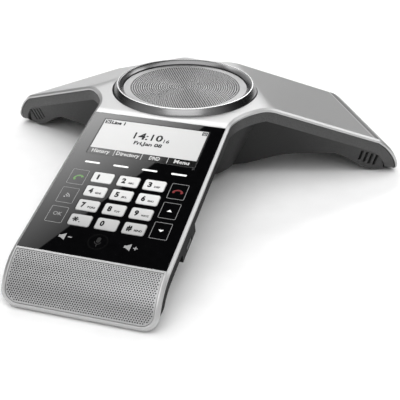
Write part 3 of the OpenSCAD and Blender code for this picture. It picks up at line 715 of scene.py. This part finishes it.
def top_shell():
    build = Build()
    top = [body_loop(EDGE_W), *shell_holes(RIM_SOFT)]
    points, triangles = fill(top, bend_points(top[1:]))
    outer = build.add([surface(x, y) for x, y in points])
    inner = build.add([surface(x, y, SHELL_T) for x, y in points])
    build.sheet(triangles, outer, inner)

    base = len(top[0])
    ring = outer[:base]
    bevel = [
        (EDGE_W - 0.10, 0.02),
        (EDGE_W - 0.28, 0.12),
        (0.24, EDGE_DROP - 0.16),
        (0.07, EDGE_DROP + 0.02),
        (0.0, EDGE_DROP + 0.25),
        (0.0, SHELL_T - 0.2),
        (0.05, SHELL_T - 0.05),
        (0.18, SHELL_T),
    ]
    for inset, depth in bevel:
        nxt = build.add([surface(x, y, depth) for x, y in body_loop(inset)])
        build.bridge(ring, nxt)
        ring = nxt
    build.bridge(ring, inner[:base])

    for rim, halfway, wall in zip(top[1:], shell_holes(RIM_HALFWAY), shell_holes(0.0)):
        a = outer[base : base + len(rim)]
        b = build.add([surface(x, y, RIM_HALFWAY) for x, y in halfway])
        c = build.add([surface(x, y, RIM_SOFT) for x, y in wall])
        d = inner[base : base + len(rim)]
        build.bridge(a, b)
        build.bridge(b, c)
        build.bridge(c, d)
        base += len(rim)
    make_piece("top_shell_skin", build, SILVER, replaces=["top_shell"])


top_shell()


# ----------------------------------------------------------- lathed hub parts
def lathe(name, profile, material, replaces, steps=180):
    build = Build()
    rings = [build.add([(x, y, z) for x, y in circle(0, 0, r, steps)]) for r, z in profile]
    for lower, upper in zip(rings, rings[1:] + rings[:1]):
        build.bridge(lower, upper)
    make_piece(name, build, material, replaces=replaces, sharp=30.0)


COLLAR_FOOT, COLLAR_FOOT_R = 60.45, 51.4
RIM_R = 48.4
SEAT_R, SHADOW_GAP = 44.05, 0.7
GRILLE_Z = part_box("speaker_grille")[1].z / MM
GRILLE_R = (GRILLE_BOX[1].x - GRILLE_BOX[0].x) / 2 / MM


def speaker_collar():
    """Flared ring with a rounded rim. A groove round the grille leaves a shadow line."""
    rise = COLLAR_TOP - 0.35 - COLLAR_FOOT
    outer = [(COLLAR_FOOT_R - 2.75 * (i / 10) ** 1.25, COLLAR_FOOT + rise * i / 10) for i in range(11)]
    rim = [
        (RIM_R + 0.08, COLLAR_TOP - 0.10),
        (RIM_R - 0.10, COLLAR_TOP),
        (RIM_R - 0.75, COLLAR_TOP),
        (RIM_R - 0.95, COLLAR_TOP - 0.12),
    ]
    lip = GRILLE_Z + 0.8
    drop = COLLAR_TOP - 0.25 - lip
    inner = [(RIM_R - 1.05 - 3.0 * (i / 8), COLLAR_TOP - 0.25 - drop * (i / 8) ** 1.3) for i in range(9)]
    lip_r = SEAT_R + 0.35
    seat = [
        (lip_r, lip - 0.12),
        (lip_r + SHADOW_GAP, lip - 0.25),
        (lip_r + SHADOW_GAP, GRILLE_Z - 0.1),
        (SEAT_R, GRILLE_Z - 0.1),
        (SEAT_R, GRILLE_Z - 1.15),
        (40.6, GRILLE_Z - 1.15),
        (40.6, 60.8),
        (46.6, 58.05),
        (48.4, 58.05),
        (48.4, COLLAR_FOOT),
    ]
    profile = outer + rim + inner + seat
    lathe("speaker_collar_ring", profile, SPUN, ["speaker_collar"])


speaker_collar()


def perforated(name, outline, holes, place, thickness, material, replaces):
    """Sheet with holes right through it. place(point, depth) puts a point of the flat sheet."""
    build = Build()
    points, triangles = fill_perforated(outline, holes)
    top = build.add([place(p, 0.0) for p in points])
    bottom = build.add([place(p, thickness) for p in points])
    build.sheet(triangles, top, bottom)
    base = 0
    for loop in [outline, *holes]:
        n = len(loop)
        build.bridge(bottom[base : base + n], top[base : base + n], flip=base > 0)
        base += n
    make_piece(name, build, material, replaces=replaces, sharp=40)


def fill_perforated(outline, holes):
    """fill() for a sheet with a great many small holes: a triangle is in a hole when its three
    corners are of the same hole."""
    points, edges, owner = chain([outline, *holes])
    out = delaunay_2d_cdt([Vector(p) for p in points], edges, [], 1, 1e-6)
    source = [ids[0] for ids in out[3]]
    triangles = []
    for tri in out[2]:
        ids = [source[i] for i in tri]
        first = owner[ids[0]]
        if first == 0 or any(owner[i] != first for i in ids):
            triangles.append(ids)
    return points, triangles


RING_PITCH = 1.6
HOLE_R = 0.66
HOLED_R = 38.7


def speaker_grille():
    """Flat sheet with rings of 6, 12, 18 and so on holes round a middle one."""
    holes = []
    for ring in range(int(HOLED_R / RING_PITCH) + 1):
        for x, y in circle(0, 0, ring * RING_PITCH, 6 * ring) if ring else [(0, 0)]:
            holes.append(arc(x, y, HOLE_R, 22.5, 382.5, 8)[:-1])
    outline = circle(0, 0, GRILLE_R - 0.02, 180)
    perforated(
        "speaker_grille_sheet", outline, holes, lambda p, d: (p[0], p[1], GRILLE_Z - 0.01 - d), 0.66,
        GRILLE_METAL, ["speaker_grille"],
    )


speaker_grille()


# ---------------------------------------------------------------- front mesh
MESH_INSET, MESH_MARGIN = 0.2, 0.75
MESH_PITCH, MESH_ROW = 1.5, 1.27
MESH_HOLE_R = 0.48
MESH_SUNK = 0.35


def front_mesh():
    """Sheet with six-sided holes in staggered rows. It bends over the end of the front leg."""
    half, corner = GRILLE_HALF - MESH_INSET, GRILLE_CORNER - MESH_INSET
    outline = rounded_rect(
        -half, half, GRILLE_T0 + MESH_INSET, GRILLE_T1 - MESH_INSET, 0.5, corner, step=GRILLE_STEP
    )
    edge = MESH_MARGIN + MESH_HOLE_R
    holes = []
    for j in range(int((GRILLE_T1 - GRILLE_T0 - 2 * MESH_MARGIN) / MESH_ROW) + 1):
        t = GRILLE_T0 + edge + j * MESH_ROW
        for i in range(-30, 31):
            u = i * MESH_PITCH + (MESH_PITCH / 2 if j % 2 else 0.0)
            beside = abs(u) - (GRILLE_HALF - GRILLE_CORNER)
            past = t - (GRILLE_T1 - GRILLE_CORNER)
            if abs(u) > GRILLE_HALF - edge or t > GRILLE_T1 - edge:
                continue
            if beside > 0 and past > 0 and math.hypot(beside, past) > GRILLE_CORNER - edge:
                continue
            holes.append(front_plan(circle(u, t, MESH_HOLE_R, 6)))
    perforated(
        "front_mesh_sheet", front_plan(outline), holes, lambda p, d: surface(p[0], p[1], d + MESH_SUNK), 0.7,
        MESH_METAL, ["front_grille"],
    )


front_mesh()


# ------------------------------------------------------------- flat graphics
def prism(build, points, faces, low, high):
    """Adds a flat shape of the panel frame, given as (u, v) points and faces, as a closed slab."""
    top = build.add([(u, v, high) for u, v in points])
    bottom = build.add([(u, v, low) for u, v in points])
    uses = {}
    for face in faces:
        for pair in zip(face, face[1:] + face[:1]):
            uses[frozenset(pair)] = uses.get(frozenset(pair), 0) + 1
    for face in faces:
        build.faces.append(tuple(top[i] for i in face))
        build.faces.append(tuple(bottom[i] for i in reversed(face)))
        for i, j in zip(face, face[1:] + face[:1]):
            if uses[frozenset((i, j))] == 1:
                build.faces.append((top[i], bottom[i], bottom[j], top[j]))


def shape(build, loops, low, high):
    points, triangles = fill(loops)
    prism(build, points, triangles, low, high)


def moved(loop, u, v, turn=0.0):
    c, s = cosd(turn), sind(turn)
    return [(u + c * x - s * y, v + s * x + c * y) for x, y in loop]


CAPITAL_SHARE = 0.73


def lettering(text, height, width=None, bold=0.0, smooth=3):
    """Text as flat points and faces, its middle at u = 0, its baseline at v = 0 and v down. height is
    that of a capital, and width, if given, is that of the whole text."""
    curve = bpy.data.curves.new("lettering", "FONT")
    curve.body = text
    curve.size = height / CAPITAL_SHARE
    curve.offset = bold
    curve.resolution_u = smooth
    obj = bpy.data.objects.new("lettering", curve)
    mesh = bpy.data.meshes.new_from_object(obj)
    points = [(v.co.x, -v.co.y) for v in mesh.vertices]
    faces = [list(p.vertices) for p in mesh.polygons]
    bpy.data.objects.remove(obj)
    bpy.data.curves.remove(curve)
    bpy.data.meshes.remove(mesh)
    low, high = min(p[0] for p in points), max(p[0] for p in points)
    scale = width / (high - low) if width else 1.0
    return [((x - (low + high) / 2) * scale, y) for x, y in points], faces


def print_text(build, text, height, u, v, low, high, width=None, bold=0.0):
    points, faces = lettering(text, height, width, bold)
    prism(build, [(x + u, y + v) for x, y in points], faces, low, high)


def panel_piece(name, build, material, body, replaces=()):
    make_piece(name, build, material, body, replaces, panel_place)


def plate(name, outline, holes, levels, material, replaces=(), body="base"):
    """Plate with holes in the panel frame. outline(g) and each hole(g) give the loop grown by g, and
    levels are (inset of the edge, height) from the top down."""
    build = Build()
    first, last = levels[0], levels[-1]
    loops = [outline(-first[0]), *[hole(first[0]) for hole in holes]]
    points, triangles = fill(loops)
    top = build.add([(u, v, first[1]) for u, v in points])
    last_points = outline(-last[0]) + [p for hole in holes for p in hole(last[0])]
    bottom = build.add([(u, v, last[1]) for u, v in last_points])
    build.sheet(triangles, top, bottom)
    base = 0
    for k, loop in enumerate([outline, *holes]):
        sign = -1 if k == 0 else 1
        count = len(loop(0))
        ring = top[base : base + count]
        for inset, height in levels[1:-1]:
            nxt = build.add([(u, v, height) for u, v in loop(sign * inset)])
            build.bridge(ring, nxt)
            ring = nxt
        build.bridge(ring, bottom[base : base + count])
        base += count
    panel_piece(name, build, material, body, replaces)


# ------------------------------------------------------------------ key panel
WINDOW_HALF, WINDOW_V = 36.05, (5.4, 41.0)
KEY_W, KEY_H, KEY_R = 13.5, 9.0, 1.4
KEY_PITCH_U, KEY_PITCH_V, KEY_V0 = 16.8, 12.5, 61.6
KEY_TOP, KEY_STEM, KEY_FOOT, KEY_FLANGE = 0.235, -2.15, -2.95, 0.9
KEY_ROWS = [
    [("1", "1", ""), ("2", "2", "ABC"), ("3", "3", "DEF")],
    [("4", "4", "GHI"), ("5", "5", "JKL"), ("6", "6", "MNO")],
    [("7", "7", "PQRS"), ("8", "8", "TUV"), ("9", "9", "WXYZ")],
    [("star", "*", "."), ("0", "0", ""), ("hash", "#", "SEND")],
]
KEY_GAP = 0.2
KEY_LEVELS = [
    (1.0, KEY_TOP),
    (0.42, KEY_TOP - 0.02),
    (0.2, KEY_TOP - 0.065),
    (0.06, KEY_TOP - 0.17),
    (0.0, KEY_TOP - 0.32),
    (0.0, KEY_STEM),
    (-KEY_FLANGE, KEY_STEM),
    (-KEY_FLANGE, KEY_FOOT),
]
LEGEND = (KEY_TOP - 0.02, KEY_TOP + 0.012)
DIGIT_WIDTHS = {"1": None, "#": 3.3}
LED_U, LED_V, LED_R = 35.3, 42.2, 0.75


def rect(u0, u1, v0, v1, r):
    return lambda grow: rounded_rect(u0, u1, v0, v1, r, r, grow)


def disc(u, v, r):
    return lambda grow: circle(u, v, r + grow, 32)


def key_place(row, column):
    """Middle of a number key, and its outline as a function of how much it is grown."""
    u, v = (column - 1) * KEY_PITCH_U, KEY_V0 + row * KEY_PITCH_V
    return u, v, rect(u - KEY_W / 2, u + KEY_W / 2, v - KEY_H / 2, v + KEY_H / 2, KEY_R)


def front_panel():
    keys = [key_place(row, column)[2] for row in range(4) for column in range(3)]
    holes = [rect(-WINDOW_HALF, WINDOW_HALF, *WINDOW_V, 0.6), disc(LED_U, LED_V, LED_R)]
    holes += [lambda grow, key=key: key(grow + KEY_GAP) for key in keys]
    levels = [(0.21, 0.0), (0.16, 0.0), (0.05, -0.04), (0.0, -0.16), (0.0, -2.0)]
    outline = rect(-PANEL_W / 2 + 0.02, PANEL_W / 2 - 0.02, 0.02, PANEL_L - 0.02, 0.5)
    plate("key_panel_sheet", outline, holes, levels, GLOSS, ["front_panel"])


def number_keys():
    for row, keys in enumerate(KEY_ROWS):
        for column, (name, digit, letters) in enumerate(keys):
            u, v, outline = key_place(row, column)
            body = "key_" + name
            plate(body + "_cap", outline, [], KEY_LEVELS, KEY_WHITE, [body], body)
            legend = Build()
            if digit == "*":
                star_mark(legend, u - 2.9, v - 0.2, *LEGEND)
            else:
                print_text(legend, digit, 4.1, u - 2.9, v + 1.9, *LEGEND, DIGIT_WIDTHS.get(digit, 2.6), 0.32)
            if letters == ".":
                shape(legend, [circle(u - 0.1, v + 1.6, 0.42, 16)], *LEGEND)
            elif letters:
                width = 1.25 * len(letters)
                print_text(legend, letters, 1.45, u + 0.2 + width / 2, v + 2.0, *LEGEND, width, 0.09)
            panel_piece(body + "_legend", legend, INK_BLACK, body)


def star_mark(build, u, v, low, high):
    """Six-armed star made of three crossed bars, cut as one outline."""
    outline = []
    for k in range(6):
        a = 60 * k
        for off, r in ((-17, 2.0), (17, 2.0), (30, 0.72)):
            outline.append((u + r * cosd(a + off), v + r * sind(a + off)))
    shape(build, [outline], low, high)


def handset():
    """Outline of a handset lying down: an arch with a lobe at each end."""
    top = [(3.3 * cosd(a), 0.9 - 2.3 * sind(a)) for a in range(0, 181, 12)]
    under = [(1.75 * cosd(a), 0.55 - 0.85 * sind(a)) for a in range(180, -1, -15)]
    lobe = [(3.3, 1.5), (2.95, 1.85), (2.05, 1.85), (1.75, 1.5)]
    return top + [(-u, v) for u, v in lobe] + under + lobe[::-1]


def band(u, v, r0, r1, first, last, step):
    """Outline of a curved stroke from radius r0 out to r1, between two angles."""
    there = [(u + r1 * cosd(a), v + r1 * sind(a)) for a in range(first, last + 1, step)]
    back = [(u + r0 * cosd(a), v + r0 * sind(a)) for a in range(last, first - 1, -step)]
    return there + back


PRINT = (-0.02, 0.03)
SPEAKER = [(-2.3, -0.95), (-1.1, -0.95), (1.7, -2.7), (1.7, 2.7), (-1.1, 0.95), (-2.3, 0.95)]
SIDE_U, SIDE_V0, SIDE_PITCH = 32.35, 63.8, 16.75
SOFT_KEY_PITCH, SOFT_KEY_V = 18.96, (48.35, 49.85)
FRAME_HALF_U, FRAME_HALF_V, FRAME_LINE = 5.45, 6.7, 0.36
VOLUME_V = 113.5
MUTE_U, MUTE_V = -0.2, 113.3


def graphic(name, loops_list, material):
    build = Build()
    for loops in loops_list:
        shape(build, loops, *PRINT)
    panel_piece(name, build, material, "base")


def outlined(outline, width):
    return [outline(0), outline(-width)]


def panel_print():
    spots = [(i - 1.5) * SOFT_KEY_PITCH for i in range(4)]
    bars = [[rounded_rect(u - 5.0, u + 5.0, *SOFT_KEY_V, 0.7, 0.7)] for u in spots]
    graphic("soft_key_bars", bars, INK_WHITE)

    places = [(side * SIDE_U, SIDE_V0 + SIDE_PITCH * row) for side in (-1, 1) for row in range(3)]
    w, h = FRAME_HALF_U, FRAME_HALF_V
    frames = [outlined(rect(u - w, u + w, v - h, v + h, 0.9), FRAME_LINE) for u, v in places]
    graphic("key_frames", frames, INK_GREY)

    graphic("call_mark", [[moved(handset(), -SIDE_U, SIDE_V0 - 0.2, -32)]], INK_GREEN)
    graphic("hang_up_mark", [[moved(handset(), SIDE_U, SIDE_V0 - 0.2)]], INK_RED)
    tip, foot = (0.0, -0.9), [(1.55, 0.9), (-1.55, 0.9)]
    up = moved([tip, *foot], SIDE_U, 80.5)
    down = moved([tip, *foot], SIDE_U, 97.3, 180)
    graphic("arrow_marks", [[up], [down]], INK_WHITE)

    u, v = -SIDE_U - 1.6, 82.0
    waves = [[band(u, v, r - 0.32, r + 0.32, -80, 0, 10)] for r in (1.7, 3.0)]
    graphic("wireless_mark", [[circle(u, v, 0.55, 16)], *waves], INK_SOFT)
    words = Build()
    print_text(words, "OK", 3.0, -SIDE_U + 0.2, 98.0, *PRINT, 5.4)
    panel_piece("ok_mark", words, INK_SOFT, "base")

    minus = rounded_rect(-18.6, -16.2, 112.9, 113.6, 0, 0)
    arm, half = 1.35, 0.33
    quarter = [(-half, -arm), (half, -arm), (half, -half)]
    plus = [point for turn in range(0, 360, 90) for point in moved(quarter, 0, 0, turn)]
    quiet, loud = moved(SPEAKER, -21.9, VOLUME_V - 0.1), moved(SPEAKER, 18.0, VOLUME_V)
    graphic("volume_marks", [[quiet], [minus], [loud], [moved(plus, 22.6, VOLUME_V + 0.1)]], INK_SOFT)

    graphic("mute_ring", [outlined(disc(MUTE_U, MUTE_V, 5.9), 0.35)], INK_DIM)
    mic = rounded_rect(MUTE_U - 1.15, MUTE_U + 1.15, 109.8, 114.0, 1.12, 1.12)
    stem = rounded_rect(MUTE_U - 0.25, MUTE_U + 0.25, 115.4, 117.0, 0, 0)
    cup = band(MUTE_U, MUTE_V, 1.65, 2.1, 0, 180, 15)
    graphic("mute_mark", [[mic], [cup], [stem]], INK_MUTE)


# -------------------------------------------------------------------- display
LCD_HALF, LCD_V = 35.45, (5.95, 40.6)
LABEL_V = 34.95
DOT = 2 * LCD_HALF / 248
DOT_SIZE = 0.28
FIELD = -0.03
LAYER, OVERLAP = 0.012, 0.005
FIELD_TOP = FIELD + LAYER
TAB_TOP = FIELD_TOP + LAYER


def dot_middle(i, j):
    return -LCD_HALF + (i + 0.5) * DOT, LCD_V[0] + (j + 0.5) * DOT


def dot_cells(text, height, u, v, width=None, bold=0.0):
    """Display dots that a text covers; v is the text's baseline."""
    points, faces = lettering(text, height, width, bold, smooth=2)
    cells = set()
    for face in faces:
        corners = [(points[i][0] + u, points[i][1] + v) for i in face]
        columns = [int((c[0] + LCD_HALF) / DOT) for c in corners]
        rows = [int((c[1] - LCD_V[0]) / DOT) for c in corners]
        for i in range(min(columns) - 1, max(columns) + 2):
            for j in range(min(rows) - 1, max(rows) + 2):
                if inside(dot_middle(i, j), corners):
                    cells.add((i, j))
    return cells


def box_cells(u, v, rows):
    """Display dots of a small picture given as rows of characters, from its top left corner."""
    i0, j0 = round((u + LCD_HALF) / DOT), round((v - LCD_V[0]) / DOT)
    return {(i0 + i, j0 + j) for j, row in enumerate(rows) for i, mark in enumerate(row) if mark == "#"}


def dots(name, cells, material, low):
    build = Build()
    for i, j in sorted(cells):
        u, v = dot_middle(i, j)
        half = DOT_SIZE / 2
        square = [(u - half, v - half), (u + half, v - half), (u + half, v + half), (u - half, v + half)]
        prism(build, square, [[0, 1, 2, 3]], low - OVERLAP, low + LAYER)
    panel_piece(name, build, material, "base")


LINE_ICON = [
    "##############",
    "##############",
    "##...####...##",
    "##....##....##",
    "###........###",
    "######..######",
    "######..######",
    "####......####",
    "###...##...###",
    "###..####..###",
    "###........###",
    "##############",
    "##############",
]
NET_ICON = [
    "############",
    "############",
    "##........##",
    "##.######.##",
    "##.######.##",
    "##.######.##",
    "##........##",
    "#####..#####",
    "#####..#####",
    "##........##",
    "############",
    "############",
]


SOFT_LABELS = [("History", -27.2, 12.2), ("Directory", -8.9, 15.6), ("DND", 8.9, 7.0), ("Menu", 26.7, 9.8)]


def display():
    pane = rect(-WINDOW_HALF + 0.05, WINDOW_HALF - 0.05, WINDOW_V[0] + 0.05, WINDOW_V[1] - 0.05, 0.5)
    levels = [(0.1, FIELD), (0.0, FIELD - 0.1), (0.0, -2.0)]
    plate("display_pane", pane, [], levels, GLOSS, ["display_window"])
    field = Build()
    shape(field, [rounded_rect(-LCD_HALF, LCD_HALF, *LCD_V, 0.3, 0.3)], FIELD - 0.01, FIELD_TOP)
    panel_piece("display_field", field, LCD_WHITE, "base")

    edge = LCD_HALF + 0.1
    tabs = Build()
    for u0, u1 in ((-edge, -18.3), (-17.95, 0.1), (0.45, 17.3), (17.65, edge)):
        shape(tabs, [rounded_rect(u0, u1, LABEL_V, LCD_V[1] + 0.1, 0, 0)], FIELD_TOP - OVERLAP, TAB_TOP)
    panel_piece("display_tabs", tabs, LCD_TAB, "base")

    dark = dot_cells("14:10", 6.3, -1.5, 21.4, 19.5, bold=0.2)
    dark |= dot_cells("16", 3.1, 11.3, 22.0, 3.9, bold=0.15)
    dark |= dot_cells("Fri,Jan 08", 3.3, 0.3, 27.0, 19.0, bold=0.17)
    dark |= dot_cells("Line 1", 3.2, -25.6, 10.0, 9.4, bold=0.2)
    dark |= box_cells(-34.9, 6.6, LINE_ICON) | box_cells(31.6, 6.6, NET_ICON)
    dots("display_text", dark, LCD_DARK, FIELD_TOP)
    light = set()
    for text, u, width in SOFT_LABELS:
        light |= dot_cells(text, 3.3, u, 39.2, width, bold=0.12)
    dots("display_labels", light, LCD_LIGHT, TAB_TOP)


front_panel()
number_keys()
panel_print()
display()


# ---------------------------------------------------------------------- stage
def area_light(name, power, size, size_y):
    """Rectangular light, not yet placed."""
    data = bpy.data.lights.new(name, "AREA")
    data.shape = "RECTANGLE"
    data.size, data.size_y = size, size_y
    data.energy = power
    obj = bpy.data.objects.new(name, data)
    bpy.context.scene.collection.objects.link(obj)
    return obj


def softbox(name, power, location, target, size, size_y):
    obj = area_light(name, power, size, size_y)
    obj.location = location
    obj.rotation_euler = (Vector(target) - Vector(location)).to_track_quat("-Z", "Y").to_euler()
    return obj


def axes_matrix(x, y, z, spot):
    return Matrix.Translation(spot) @ Matrix((x, y, z)).transposed().to_4x4()


BACK_FACING = (-0.4618, 0.6926, 0.5541)
BACK_SLANT = 17.6
BACK_SIZE = (2.2, 1.15)
BACK_AWAY, BACK_EDGE, BACK_SHIFT = 1.5, 0.667, 0.1
BACK_POWER = 56.0
BACK_ACROSS = [(0.0, 0.7), (0.46, 1.0), (0.56, 0.8), (0.68, 0.55), (1.0, 0.3)]
BACK_UP = [(0.0, 0.12), (0.5, 0.18), (0.72, 0.6), (0.84, 1.0), (1.0, 0.22)]


def back_softbox():
    """Large softbox behind the phone on the left. Its slanting top edge is the one that shows in the
    gloss panel, and it is brightest a little under that edge."""
    facing = Vector(BACK_FACING).normalized()
    across = Vector((0, 0, 1)).cross(facing).normalized()
    upward = facing.cross(across)
    along = across * cosd(BACK_SLANT) + upward * sind(BACK_SLANT)
    square = facing.cross(along)
    corner = facing * BACK_AWAY + upward * BACK_EDGE + Vector(HUB)
    spot = corner - along * BACK_SHIFT - square * (BACK_SIZE[1] / 2)
    obj = area_light("back_softbox", BACK_POWER, *BACK_SIZE)
    obj.matrix_world = axes_matrix(along, square, facing, spot)
    obj.data.use_nodes = True
    tree = obj.data.node_tree
    place = axes(tree, tree.nodes.new("ShaderNodeNewGeometry").outputs["Parametric"])
    level = calc(tree, "MULTIPLY", ramp(tree, place["X"], BACK_ACROSS), ramp(tree, place["Y"], BACK_UP))
    feed(tree, tree.nodes["Emission"].inputs["Strength"], level)


ROOM = [(0.0, 1.0), (0.35, 0.6), (0.5, 0.16), (0.66, 0.03), (0.86, 0.03), (1.0, 0.22)]
ROOM_POWER = 0.75
FLOOR_HALF = 6.0


def room():
    """World whose grey goes from the user's side, where it is lightest, round to the back."""
    world = bpy.data.worlds.new("studio")
    bpy.context.scene.world = world
    world.use_nodes = True
    tree = world.node_tree
    background = tree.nodes["Background"]
    direction = axes(tree, tree.nodes.new("ShaderNodeTexCoord").outputs["Generated"])
    feed(tree, background.inputs["Color"], ramp(tree, remap(tree, direction["Y"], -1.0, 1.0), ROOM))
    background.inputs["Strength"].default_value = ROOM_POWER


def stage():
    scene = bpy.context.scene
    mesh = bpy.data.meshes.new("floor")
    corners = [(x * FLOOR_HALF, y * FLOOR_HALF, 0) for x, y in ((-1, -1), (1, -1), (1, 1), (-1, 1))]
    mesh.from_pydata(corners, [], [(0, 1, 2, 3)])
    floor = bpy.data.objects.new("floor", mesh)
    scene.collection.objects.link(floor)
    mesh.materials.append(grained_plastic("pale_floor", grey(0.86), grey(0.90), 0.9, 40, 0.0))

    room()
    back_softbox()
    softbox("front_softbox", 20, (0.35, -1.3, 1.6), (0, 0, 0), 2.0, 1.6)
    softbox("top_softbox", 13, (0.15, -0.05, 2.0), (0.15, -0.05, 0), 2.6, 1.1)
    fill_light = softbox("fill_softbox", 16, (0.15, -0.8, 2.0), (0.15, -0.8, 0), 2.6, 1.4)
    fill_light.visible_glossy = False
    softbox("right_softbox", 7, (1.1, 1.05, 1.15), (0, 0, 0), 0.9, 0.9)
    scene.view_settings.view_transform = "Standard"


CAMERA_SPOT = (0.16944, -0.54492, 0.28884)
CAMERA_YAW, CAMERA_PITCH, CAMERA_ROLL = 16.12, 29.14, 0.64
SENSOR = 36
FOCAL_SHARE = 853.38 / 400


def camera():
    scene = bpy.context.scene
    yaw, pitch, roll = CAMERA_YAW, CAMERA_PITCH, CAMERA_ROLL
    forward = Vector((-sind(yaw) * cosd(pitch), cosd(yaw) * cosd(pitch), -sind(pitch)))
    level = Vector((cosd(yaw), sind(yaw), 0))
    right = level * cosd(roll) + level.cross(forward) * sind(roll)
    up = right.cross(forward)
    data = bpy.data.cameras.new("camera")
    data.sensor_width = SENSOR
    data.lens = FOCAL_SHARE * SENSOR
    data.clip_start = 0.01
    obj = bpy.data.objects.new("camera", data)
    obj.matrix_world = axes_matrix(right, up, -forward, Vector(CAMERA_SPOT) + Vector(HUB))
    scene.collection.objects.link(obj)
    scene.camera = obj


stage()
camera()
